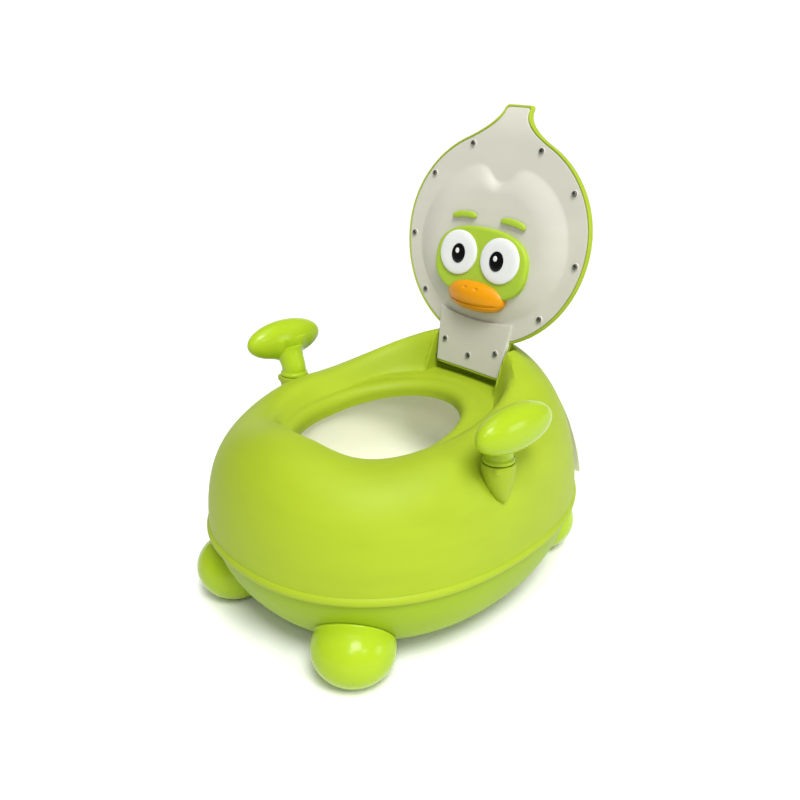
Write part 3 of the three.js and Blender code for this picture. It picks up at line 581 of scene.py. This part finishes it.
def base_grid():
    """Rings of the bead's shape, drawn in by the wall's share at each height, on a flat bottom."""
    plan = bead(ring_angles(240))[None]
    flat = np.linspace(0.04, BASE_SHARE[0], 9, False)
    share = np.concatenate([flat, base_curve[:, 0], [base_curve[-1, 0] - 0.006]])
    height = np.concatenate([0 * flat + BASE_FLOOR, base_curve[:, 1], [base_curve[-1, 1] + 0.6]])
    plan = plan * share[:, None, None]
    height = np.broadcast_to(height[:, None, None], plan.shape[:2] + (1,))
    return np.concatenate([plan, height], -1) + (0, MIDDLE_Y, 0)


def cut(thing, tools):
    """Takes closed solids out of a piece and keeps the result as its mesh."""
    mesh = bpy.data.meshes.new("tool")
    mesh.from_pydata((np.concatenate(tools.points) * MM).tolist(), [], tools.faces)
    tool = bpy.data.objects.new("tool", mesh)
    bpy.context.scene.collection.objects.link(tool)
    change = thing.modifiers.new("cut", "BOOLEAN")
    change.object, change.operation, change.solver = tool, "DIFFERENCE", "EXACT"
    result = bpy.data.meshes.new_from_object(thing.evaluated_get(bpy.context.evaluated_depsgraph_get()))
    thing.modifiers.clear()
    thing.data = result
    bpy.data.objects.remove(tool)
    result.set_sharp_from_angle(angle=math.radians(40))


def block(low, high):
    """A plain closed box, used only to cut openings."""
    corners = np.array([[low[0], low[1]], [high[0], low[1]], [high[0], high[1]], [low[0], high[1]]])
    rings = [np.concatenate([corners, np.full((4, 1), z)], -1) for z in (low[2], high[2])]
    return np.array(rings)


shell = piece("body_upper_shell", Solid().wall(upper, UPPER_WALL), "body", "body_green",
    ["upper_shell"], sharp=60)
cut(shell, Solid().tube(block([-BAY_HALF, BAY_FRONT, BAY_BOTTOM], [BAY_HALF, BAY_BACK, BAY_TOP])))
base = piece("body_base_shell", Solid().wall(base_grid(), BASE_WALL, pole=True), "body", "base_green",
    ["base_shell"], sharp=50)
holes, wells = Solid(), Solid()
post_places = [middle(f"shell_screw_{end}_{side}")
    for end in ("front", "middle", "rear") for side in ("left", "right")]
for x, y, _ in post_places:
    holes.tube(turned([[4.3, 0], [4.3, 78]], 32) + (x, y, 0))
    wells.loop(turned([[6.5, 40], [6.5, 81], [4.4, 81], [4.4, 40]], 32) + (x, y, 0))
cut(base, holes)
piece("base_screw_wells", wells, "body", "base_green", ["base_shell"])


# ---- feet ----
def foot_grid(centre):
    """A ball on the floor, flat underneath, whose inner part is pressed against the base with a small gap."""
    up = np.linspace(-np.pi / 2, np.pi / 2, 74)[1:-1, None]
    around = ring_angles(112)[None]
    x = centre[0] + FOOT_RADIUS * np.cos(up) * np.cos(around)
    y = centre[1] + FOOT_RADIUS * np.cos(up) * np.sin(around)
    z = np.maximum(FOOT_HALF_HEIGHT * (1 + np.sin(up)), SOLE_Z) + 0 * around
    radius, turn = np.hypot(x, y - MIDDLE_Y), np.arctan2(y - MIDDLE_Y, x)
    table_turn = np.linspace(-np.pi, np.pi, 721)
    edge = bead(table_turn)
    order = np.argsort(np.arctan2(edge[:, 1], edge[:, 0]))
    reach = np.interp(turn, np.arctan2(edge[:, 1], edge[:, 0])[order], np.hypot(*edge.T)[order])
    wall = reach * base_share(np.clip(z, BASE_FLOOR, 86)) + 0.7 - np.maximum(BASE_FLOOR - z, 0) * 8
    pressed = (radius + wall + np.sqrt((radius - wall) ** 2 + 3)) / 2
    return np.stack([pressed * np.cos(turn), pressed * np.sin(turn) + MIDDLE_Y, z], -1)


for end in ("front", "rear"):
    for side in ("right", "left"):
        pad = middle(f"foot_pad_{end}_{side}")
        piece(f"round_foot_{end}_{side}", Solid().tube(foot_grid(pad)), "body", "gloss_green",
            [f"foot_{end}_{side}"], sharp=75)


# ---- handles ----
def handle_solid(sign):
    """An egg-shaped grip and a post from the socket, each swollen towards the other where they meet."""
    low, high = node_box("handle_right")
    outer = high[0]
    half = np.array(GRIP_HALF)
    centre = np.array([outer - half[0], (low[1] + high[1]) / 2, high[2] - half[2]])
    up, around = np.linspace(-np.pi / 2, np.pi / 2, 62)[1:-1, None], ring_angles(96)[None]
    ball = np.stack([np.sin(up) + 0 * around, np.cos(up) * np.cos(around), np.cos(up) * np.sin(around)], -1)
    grip = centre + half * ball
    axis_x = SOCKET[0]
    gap = np.hypot(grip[..., 0] - axis_x - 4, grip[..., 1] - centre[1]) - 11.5
    grip = swell_towards(grip, np.where(grip[..., 2] < centre[2] + 4, gap, 99), 9)
    height = np.concatenate([np.linspace(173, 186, 8), np.linspace(187, 216, 26)])
    path_x = axis_x + 7 * smooth((height - 192) / 26)
    radius = np.interp(height, [173, 186.2, 186.6, 189.2, 190, 200, 216],
        [12, 12, 13.8, 13.8, 12.3, 12.1, 11.6])
    a = ring_angles(64)
    post = np.stack([path_x[:, None] + radius[:, None] * np.cos(a), centre[1] + radius[:, None] * np.sin(a),
        height[:, None] + 0 * a], -1)
    reach = np.linalg.norm((post - centre) / half, axis=-1)
    post = swell_towards(post, np.maximum((reach - 1) * 14, 0) + np.where(post[..., 2] < 191, 99, 0), 9)
    solid = Solid()
    for grid in (grip, post):
        solid.tube(grid * (sign, 1, 1))
    return solid


for side, sign in (("right", 1), ("left", -1)):
    piece(f"grip_handle_{side}", handle_solid(sign), "body", "gloss_green", [f"handle_{side}"], sharp=50)


# ---- pot ----
pot_low, pot_high = node_box("pot_bowl")
POT_HALF = ((pot_high[0] - pot_low[0]) / 2, 137)
POT_Y = pot_low[1] + POT_HALF[1]
POT_RISE = 12                          # how much higher the rim stands behind the opening's front part
POT_RIM = pot_high[2] - POT_RISE
POT_FLOOR = pot_low[2]


def pot_grid():
    """Superelliptic rings: up the outside, over a rolled rim, down the inside and across a stepped floor."""
    depth = POT_RIM - POT_FLOOR
    outside = rounded([[25, 0], [13, 0.5], [5, 9], [1.8, 26], [0.3, 52], [0, depth - 1.5]], 7, 0.45)
    rim = [[0.2, depth - 0.4], [1.3, depth], [2.4, depth - 0.4]]
    inside = rounded([[2.6, depth - 1.5], [3, 52], [4.6, 27], [8.6, 12], [16, 4], [27, 2.8]], 7, 0.45)
    step = rounded([[30, 2.8], [33, 2.8], [34.5, 4.2], [38, 4.2]], 4, 0.4)
    profile = np.concatenate([[[60, 0], [40, 0]], outside, rim, inside, step, [[55, 4.2], [70, 4.2]]])
    around = ring_angles(160)[None]
    inset, height = profile[:, :1], profile[:, 1:]
    exponent = 2 / 3
    y = POT_Y + (POT_HALF[1] - inset) * signed_power(np.sin(around), exponent)
    rise = POT_RISE * smooth((y + 65) / 25) * np.clip((height - 40) / (depth - 40), 0, 1)
    return np.stack([(POT_HALF[0] - inset) * signed_power(np.cos(around), exponent), y,
        POT_FLOOR + height + rise], -1)


pot = Solid().tube(pot_grid())


def bar_grid(low, high, edge=1.5, steps=5):
    """A block with all its edges rounded: superelliptic rings that grow and shrink at its two ends."""
    low, high = np.array(low, float), np.array(high, float)
    turn = np.linspace(0, np.pi / 2, steps)
    inset = np.concatenate([edge * (1 - np.sin(turn)), edge * (1 - np.cos(turn))])
    along = np.concatenate([low[1] + edge * (1 - np.cos(turn)), high[1] - edge * (1 - np.sin(turn))])
    around = ring_angles(48)[None]
    x = signed_power(np.cos(around), 0.22)
    z = signed_power(np.sin(around), 0.22)
    half = (high - low) / 2
    centre = (high + low) / 2
    return np.stack([centre[0] + (half[0] - inset[:, None]) * x, along[:, None] + 0 * around,
        centre[2] + (half[2] - inset[:, None]) * z], -1)


# ---- pull plate ----
def plate_depth(x, share):
    """How far back the plate's inner face is: the bead's curve, moved out lower down, with a soft bulge."""
    bead_y = BEAD_HALF[1] * (1 - (np.abs(x) / (0.93 * BEAD_HALF[0])) ** BEAD_EXPONENT) ** (1 / BEAD_EXPONENT)
    top = bead_y - 20.5 - 2 * (x / 80) ** 2
    return top + (bead_y + 20 - top) * share + 5 * np.sin(np.pi * share) + MIDDLE_Y


plate_low, plate_high = node_box("pot_pull_plate")
PLATE_HALF = plate_high[0]


def plate_ring(inset, depth):
    """The plate's rounded outline at an inset, laid on the plate's curve at a depth."""
    around = ring_angles(180)
    half_height = (plate_high[2] - plate_low[2]) / 2
    x = (PLATE_HALF - inset) * signed_power(np.cos(around), 0.34)
    z = (plate_high[2] + plate_low[2]) / 2 + (half_height - inset) * signed_power(np.sin(around), 0.34)
    share = (plate_high[2] - z) / (2 * half_height)
    return np.stack([x, plate_depth(x, share) + depth, z], -1)


def plate_grid():
    turn = np.linspace(0, np.pi, 11)
    edge = [plate_ring(1.5 * (1 - np.sin(a)), 1.5 - 1.5 * np.cos(a)) for a in turn]
    middle_z = (plate_high[2] + plate_low[2]) / 2

    def sheet(depth):
        shares = np.linspace(0.03, 0.97, 22)
        outline = plate_ring(1.5, 0)
        x = outline[:, 0] * shares[:, None]
        z = middle_z + (outline[:, 2] - middle_z) * shares[:, None]
        share = (plate_high[2] - z) / (plate_high[2] - plate_low[2])
        return np.stack([x, plate_depth(x, share) + depth, z], -1)

    return np.concatenate([sheet(0), np.array(edge), sheet(3)[::-1]])


piece("pull_plate", Solid().tube(plate_grid()), "pot", "pot_white", ["pot_pull_plate"], sharp=60)
tongue_back = float(plate_depth(np.array([0.0]), np.array([0.44]))[0]) - 0.4
pot.tube(bar_grid([-24, POT_Y + POT_HALF[1] - 3, 126], [24, tongue_back, 150]))
piece("pot_tray", pot, "pot", "pot_white", ["pot_bowl"], sharp=50)


# ---- lid ----
def on_lid(points):
    """Lid drawing coordinates (across, up from the hinge axis, out of the face) to the chair's frame."""
    x, v, n = points[..., 0], points[..., 1], points[..., 2]
    y = -n * math.cos(LEAN) + v * math.sin(LEAN)
    z = n * math.sin(LEAN) + v * math.cos(LEAN)
    return np.stack([x, y + HINGE[0] + MIDDLE_Y, z + HINGE[1]], -1)


def bezier(points, steps):
    """A Bezier curve of any degree over evenly spaced shares, without its last point."""
    t = np.linspace(0, 1, steps, False)[:, None]
    points = [np.array(p, float) + 0 * t for p in points]
    while len(points) > 1:
        points = [a * (1 - t) + b * t for a, b in zip(points[:-1], points[1:])]
    return points[0]


def lid_outline(inset):
    """The lid's outline moved in: neck, two half ellipses, a flank and a rounded tab."""
    across, down, up = LID_HALF - inset, LID_DOWN - inset, LID_UP - inset
    neck_turn, tab_turn = math.acos((NECK_HALF[1] - inset) / across), math.radians(62)
    low = np.linspace(-neck_turn, 0, 46, False)
    high = np.linspace(0, tab_turn, 40, False)
    tab_foot = np.array([across * math.cos(tab_turn), LID_CENTRE + up * math.sin(tab_turn)])
    tab, top = TAB_HALF - inset, TAB_TOP - inset
    neck_top = [NECK_HALF[1] - inset, LID_CENTRE - down * math.sin(neck_turn)]
    right = np.concatenate([
        bezier([[NECK_HALF[0] - inset, NECK_BOTTOM + inset], neck_top], 12),
        np.stack([across * np.cos(low), LID_CENTRE + down * np.sin(low)], -1),
        np.stack([across * np.cos(high), LID_CENTRE + up * np.sin(high)], -1),
        bezier([tab_foot, tab_foot + (-18, 8), (tab + 1.5, top - 16), (tab, top - 5)], 26),
        bezier([(tab, top - 5), (tab, top), (tab - 4, top)], 7),
        bezier([(tab - 4, top), (0, top)], 5)])
    left = right[::-1] * (-1, 1)
    return np.concatenate([right, [[0, top]], left])


def curl(v):
    """The tab's top curls away behind the face."""
    return -9 * np.maximum(0, (v - 218) / 34) ** 2


def lid_rings(outline, shares, depth):
    """Rings of an outline shrunk about the lid's middle by each share, at a depth worked out from the place."""
    middle_point = np.array([0, LID_CENTRE])
    plan = middle_point + (outline[None] - middle_point) * np.array(shares)[:, None, None]
    n = depth(plan[..., 0], plan[..., 1]) + curl(plan[..., 1])
    return np.concatenate([plan, n[..., None]], -1)


def lid_back(x, v):
    reach = np.where(v < LID_CENTRE, LID_DOWN, LID_UP)
    return FACE_OUT - 5.6 - 6 * np.maximum(0, 1 - (x / LID_HALF) ** 2 - ((v - LID_CENTRE) / reach) ** 2)


def lid_shell_grid():
    """The green dish: a domed back, a side band with a groove, the rim round the panel and a floor."""
    shares = np.linspace(0.03, 0.985, 26)
    rings = [lid_rings(lid_outline(0.6), shares, lid_back)]
    for inset, out in ((0.5, 0.25), (0.15, 0.9), (0, 1.8), (0, 2.6), (0.35, 2.9), (0.35, 3.2), (0, 3.5),
            (0, 4.6), (0.2, 5.3), (0.7, 5.7), (1.3, 5.75), (1.8, 5.5), (2, 5.0)):
        rings.append(lid_rings(lid_outline(inset), [1], lambda x, v: lid_back(x, v) + out))
    rings.append(lid_rings(lid_outline(2), shares[::-2], lambda x, v: lid_back(x, v) + 2))
    return np.concatenate(rings)


lid = Solid().tube(on_lid(lid_shell_grid()))


def cross_bar(radius, x0, x1, v=0.0, n=0.0, edge=0.8):
    """A round bar along the hinge axis with rounded ends, in lid coordinates."""
    turn = np.linspace(0, np.pi / 2, 5)
    x = np.concatenate([x0 + edge * (1 - np.cos(turn)), x1 - edge * (1 - np.sin(turn))])
    r = radius - edge + edge * np.concatenate([np.sin(turn), np.cos(turn)])
    a = ring_angles(40)
    return np.stack([x[:, None] + 0 * a, v + r[:, None] * np.cos(a), n + r[:, None] * np.sin(a)], -1)


for sign in (1, -1):
    ends = sorted((sign * 10.6, sign * 41))
    lid.tube(on_lid(cross_bar(5.9, *ends)))
lip_half = NECK_HALF[0] - 0.3
lip = bar_grid([-lip_half, NECK_BOTTOM - 0.6, -1], [lip_half, NECK_BOTTOM + 1.1, FACE_OUT + 2.7], 0.4)
lid.tube(on_lid(lip))
piece("lid_shell", lid, "lid", "body_green", ["lid_outer_shell"], sharp=50)


def pillow_height(x, v):
    """
    A heart-shaped swelling: the share of the way from its middle to its outline gives a height that
    rises steeply at the edge and levels off, and two lobes meet in a valley at the top.
    """
    dv = v - PILLOW_MIDDLE
    reach = np.where(dv > 0, PILLOW_REACH[1], PILLOW_REACH[0])
    ux, uv = x / PILLOW_HALF, dv / reach
    distance = np.hypot(ux, uv)
    cosine = np.divide(ux, distance, out=np.zeros_like(ux), where=distance > 1e-6)
    valley = 0.27 * np.exp(-((cosine / 0.19) ** 2)) + 0.05 * np.exp(-((cosine / 0.5) ** 2))
    cleft = np.where(dv > 0, valley, 0)
    share = distance / (1 - cleft * smooth((distance - 0.45) / 0.35))
    inward = np.clip((1 - share) / 0.34, 0, 1)
    inward = inward ** 2 / (inward + 0.05) * 1.05
    height = PILLOW_HEIGHT * (1 - (1 - np.clip(inward, 0, 1)) ** 1.9)
    return np.maximum(height, 0)


def panel_face(x, v):
    return FACE_OUT - 0.2 + pillow_height(x, v)


def panel_grid():
    """The white panel: a flat back, a thin rounded edge, and a face that carries the pillow."""
    shares = np.linspace(0.02, 0.992, 66)
    edge = lid_outline(2.4)
    level = lambda n: (lambda x, v: n + 0 * x)
    back = lid_rings(edge, [0.05, 0.5, 0.99, 1], level(FACE_OUT - 2.2))
    side = [lid_rings(lid_outline(inset), [1], level(n)) for inset, n in
        ((2.3, FACE_OUT - 1.4), (2.3, FACE_OUT - 0.9), (2.5, FACE_OUT - 0.4), (3, FACE_OUT - 0.2))]
    return np.concatenate([back, *side, lid_rings(lid_outline(3), shares[::-1], panel_face)])


panel = Solid().tube(on_lid(panel_grid()))


def neck_grid():
    """The thicker plate over the neck: straight sides, a hollow top edge and rounded front edges."""
    top, bottom = 33 + 19, NECK_BOTTOM + 1.2
    outline = np.concatenate([
        bezier([(-NECK_HALF[0] + 0.3, bottom), (NECK_HALF[0] - 0.3, bottom)], 24),
        bezier([(NECK_HALF[0] - 0.3, bottom), (NECK_HALF[1] + 2.6, top)], 30),
        bezier([(NECK_HALF[1] + 2.6, top), (0, top - 10), (-NECK_HALF[1] - 2.6, top)], 36),
        bezier([(-NECK_HALF[1] - 2.6, top), (-NECK_HALF[0] + 0.3, bottom)], 30)])
    centre = np.array([0, 22])
    back, front = FACE_OUT - 0.8, FACE_OUT + 3.2

    def ring(inset, n):
        away = outline - centre
        plan = centre + away * (1 - inset / np.linalg.norm(away, axis=-1, keepdims=True))
        return np.concatenate([plan, np.full((len(plan), 1), n)], -1)

    def disc(share, n):
        plan = centre + (outline - centre) * share
        return np.concatenate([plan, np.full((len(plan), 1), n)], -1)

    behind = [disc(0.1, back), disc(0.9, back), ring(0, back)]
    edge = [ring(0, front - 1), ring(0.15, front - 0.5), ring(0.5, front - 0.15), ring(1.1, front)]
    return np.array([*behind, *edge, disc(0.93, front), disc(0.6, front), disc(0.1, front)])


panel.tube(on_lid(neck_grid()))
piece("lid_panel", panel, "lid", "ivory_plastic", ["lid_inner_panel"], sharp=45)


# ---- screws ----
def screw_grid(radius, height):
    """A pan head: a low dome over a cylinder, with a cross-shaped recess sunk into its middle."""
    share = np.linspace(0.06, 1, 18)[::-1, None]
    a = ring_angles(56)[None]
    dome = height * (0.55 + 0.45 * np.sqrt(np.maximum(1 - share ** 2.4, 0)))
    x, y = share * np.cos(a), share * np.sin(a)
    arm = np.minimum(np.abs(x), np.abs(y))
    cross = smooth((0.2 - arm) / 0.1) * smooth((0.66 - share) / 0.14)
    top = np.stack([radius * x, radius * y, dome - height * 0.75 * cross + 0 * a], -1)
    foot = np.stack([radius * np.cos(a), radius * np.sin(a), -0.6 + 0 * a], -1)
    return np.concatenate([foot, top])


def facing(grid, centre, normal):
    """Stands a grid drawn facing up so that it faces along a normal, at a place."""
    turn = Vector((0, 0, 1)).rotation_difference(Vector(normal)).to_matrix()
    return grid @ np.array(turn).T + centre


lid_normal = np.array([0, -math.cos(LEAN), math.sin(LEAN)])
for group, count in (("rim", 8), ("neck", 3)):
    seats = Solid()
    for i in range(1, count + 1):
        node = f"lid_{group}_screw_{i}"
        head = middle(node) + lid_normal * 1.4
        cos, sin = math.cos(0.7 * i), math.sin(0.7 * i)
        twisted = screw_grid(2.6, 1.3) @ np.array([[cos, sin, 0], [-sin, cos, 0], [0, 0, 1]])
        piece(f"{group}_screw_head_{i}", Solid().tube(facing(twisted, head, lid_normal)), "lid",
            "screw_steel", [node], sharp=40)
        collar_profile = rounded([[2.7, -0.8], [2.7, 0.02], [3.0, 0.12], [3.5, -0.05], [3.8, -0.8]], 4, 0.4)
        collar = turned(collar_profile, 40)
        seats.loop(facing(collar, head, lid_normal))
    piece(f"{group}_screw_seats", seats, "lid", "ivory_plastic")

for side in ("left", "right"):
    low, high = node_box(f"pull_plate_screw_{side}")
    place = np.array([(low[0] + high[0]) / 2, high[1] - 2.2, (low[2] + high[2]) / 2])
    piece(f"plate_screw_head_{side}", Solid().tube(facing(screw_grid(3.4, 2), place, (0, 1, 0))), "pot",
        "screw_steel", [f"pull_plate_screw_{side}"], sharp=40)


# ---- the bird's face ----
FACE_N = FACE_OUT + 9.4                # where the backs of the face pieces lie


def button(centre, half, edge, height, exponent=2.0, flat=0.5, columns=96):
    """A domed button: rings of a superellipse, straight up its edge and then over an elliptic dome."""
    around = ring_angles(columns)[None]
    turn = np.linspace(0, np.pi / 2, 22)[:, None]
    dome = flat + (1 - flat) * np.cos(turn)
    share = np.concatenate([[[0.1], [0.9], [1.0]], dome, [[flat * 0.6], [flat * 0.2]]])
    out = np.concatenate([[[0], [0], [0]], edge + (height - edge) * np.sin(turn), [[height], [height]]])
    x = half[0] * share * signed_power(np.cos(around), 2 / exponent)
    v = half[1] * share * signed_power(np.sin(around), 2 / exponent)
    return np.stack([centre[0] + x, centre[1] + v, centre[2] + out + 0 * around], -1)


plate_centre = (0, LID_CENTRE - 28, FACE_N - 4.2)
piece("face_disc", Solid().tube(on_lid(button(plate_centre, (57.5, 34), 5.2, 7, 2.5, 0.9, 144))), "lid",
    "face_green", ["face_plate"])


def bill_grid():
    """A duckling's bill: a wide rounded wedge with a crease for the mouth and two nostrils."""
    around = ring_angles(144)[None]
    share = np.concatenate([[0.05, 0.5, 0.98, 1.0], np.linspace(1, 0.03, 46)])[:, None]
    front = np.arange(50)[:, None] >= 4
    x = share * signed_power(np.cos(around), 0.9)
    y = share * signed_power(np.sin(around), 0.9)
    round_off = np.maximum(1 - share ** 2.3, 0) ** 0.55
    height = 3 + 11.5 * round_off * (1 - 0.3 * np.abs(x) ** 2)
    mouth = np.exp(-(((y + 0.34 + 0.22 * (1 - x ** 2)) / 0.055) ** 2)) * smooth((1.02 - share) / 0.2)
    nostril = sum(np.exp(-(((x - s * 0.2) / 0.055) ** 2 + ((y - 0.5) / 0.075) ** 2)) for s in (1, -1))
    out = np.where(front, height - 1.6 * mouth - 1.8 * nostril, -2)
    return np.stack([2 + 35 * x, LID_CENTRE - 59.5 + 14.5 * y, FACE_N - 2 + out + 0 * around], -1)


piece("duck_bill", Solid().tube(on_lid(bill_grid())), "lid", "bill_orange", ["beak"], sharp=60)
for side, sign in (("right", 1), ("left", -1)):
    eye_n = FACE_N + 2.8
    eye = on_lid(button((sign * 26.5, LID_CENTRE - 21.7, eye_n - 0.8), (23.5, 21.5), 2, 3.6, 2, 0.66))
    piece(f"eye_ball_{side}", Solid().tube(eye), "lid", "eye_white", [f"eye_{side}"])
    pupil_at = (sign * 24.5, LID_CENTRE - 22.5)
    pupil = on_lid(button((*pupil_at, eye_n + 2.6), (8.5, 9.5), 0.5, 1.2, 2, 0.5, 64))
    piece(f"pupil_dot_{side}", Solid().tube(pupil), "lid", "pupil_black", [f"pupil_{side}"])
    gleam_at = (pupil_at[0] - 1.2, pupil_at[1] + 2.4, eye_n + 3.5)
    gleam = on_lid(button(gleam_at, (2.4, 2.6), 0.3, 0.6, 2, 0.5, 32))
    piece(f"pupil_gleam_{side}", Solid().tube(gleam), "lid", "eye_white")
    t = np.linspace(-1, 1, 41)[:, None]
    turn = np.pi / 2 + t * 0.27
    a = ring_angles(28)[None]
    taper = np.sqrt(np.maximum(1 - np.abs(t) ** 5, 0.002))
    bow = np.stack([59 * np.cos(turn) + 0 * a, -58 + 59 * np.sin(turn) + 0 * a], -1)
    out_way = np.stack([np.cos(turn) + 0 * a, np.sin(turn) + 0 * a], -1)
    flat = bow + out_way * (3.1 * taper * signed_power(np.cos(a), 0.7))[..., None]
    lift = FACE_N - 1.4 + 2.2 * taper * signed_power(np.sin(a), 0.7)
    tilt = math.radians(-6)
    x = flat[..., 0] * math.cos(tilt) - flat[..., 1] * math.sin(tilt) + 31
    v = flat[..., 0] * math.sin(tilt) + flat[..., 1] * math.cos(tilt) + LID_CENTRE + 14
    piece(f"soft_brow_{side}", Solid().tube(on_lid(np.stack([sign * x, v, lift], -1))), "lid", "face_green",
        [f"brow_{side}"], sharp=60)

# the chair's own knuckle between the lid's two, with its web to the notch's back
knuckle = Solid().tube(on_lid(cross_bar(5, -10, 10)))
low_y = HINGE[0] + MIDDLE_Y
knuckle.tube(bar_grid([-10, low_y, HINGE[1] - 3], [10, low_y + 9, HINGE[1] + 3.5], 0.6))
piece("hinge_knuckle", knuckle, "body", "body_green", ["upper_shell"], sharp=50)

# ---- floor, light and camera ----
def pale_floor():
    finish = Finish("pale_floor")
    cloud = finish.noise(1.5, 3)
    shade = finish.between(cloud, 0.3, 0.7)
    finish.set(Base_Color=finish.mix(shade, linear(250, 250, 249), linear(254, 254, 254)))
    finish.set(Roughness=0.85 + (cloud - 0.5) * 0.1)
    return finish.material


floor_mesh = bpy.data.meshes.new("studio_floor")
floor_mesh.from_pydata([(26, 8, -0.0004), (-5, 36, -0.0004),
    (-36, 2, -0.0004), (-6, -27, -0.0004), (-5, 36, 20), (-36, 2, 20)], [], [(0, 1, 2, 3), (1, 4, 5, 2)])
floor_mesh.materials.append(pale_floor())
floor = bpy.data.objects.new("studio_floor", floor_mesh)
bpy.context.scene.collection.objects.link(floor)

world = bpy.data.worlds.new("studio_world")
bpy.context.scene.world = world
world.use_nodes = True
world.node_tree.nodes["Background"].inputs["Color"].default_value = (1, 1, 1, 1)
world.node_tree.nodes["Background"].inputs["Strength"].default_value = 0.24


def area_light(name, place, target, size, power):
    lamp = bpy.data.lights.new(name, "AREA")
    lamp.shape, lamp.size, lamp.size_y, lamp.energy = "RECTANGLE", size[0], size[1], power
    thing = bpy.data.objects.new(name, lamp)
    thing.location = place
    thing.rotation_mode = "QUATERNION"
    thing.rotation_quaternion = (Vector(target) - Vector(place)).to_track_quat("-Z", "Y")
    bpy.context.scene.collection.objects.link(thing)


sun = bpy.data.lights.new("key_sun", "SUN")
sun.energy, sun.angle = 2.9, math.radians(24)
sun_object = bpy.data.objects.new("key_sun", sun)
sun_object.rotation_mode = "QUATERNION"
sun_object.rotation_quaternion = Vector((-0.49, 0.27, -0.83)).to_track_quat("-Z", "Y")
bpy.context.scene.collection.objects.link(sun_object)
area_light("front_softbox", (1.1, -1.2, 1.3), (0, -0.05, 0.15), (0.3, 0.25), 5)
area_light("side_softbox", (1.5, -0.3, 1.1), (0, 0, 0.15), (0.3, 0.25), 3)
area_light("top_softbox", (0.1, -0.1, 1.6), (0, -0.05, 0.15), (0.7, 0.7), 5)
area_light("rim_softbox", (1.4, 0.75, 0.5), (0.05, 0.18, 0.13), (0.5, 0.5), 5)

CAMERA_LENS = 41.66
CAMERA_PLACE = (0.5892, -0.56077, 0.5183)
CAMERA_AIM = (-0.6805, 0.6294, -0.3752)

bpy.context.scene.view_settings.view_transform = "Standard"
camera_data = bpy.data.cameras.new("camera")
camera_data.lens, camera_data.sensor_width = CAMERA_LENS, 36
camera_data.clip_start, camera_data.clip_end = 0.01, 100
camera = bpy.data.objects.new("camera", camera_data)
camera.rotation_mode = "QUATERNION"
camera.location = CAMERA_PLACE
camera.rotation_quaternion = Vector(CAMERA_AIM).to_track_quat("-Z", "Y")
bpy.context.scene.collection.objects.link(camera)
bpy.context.scene.camera = camera
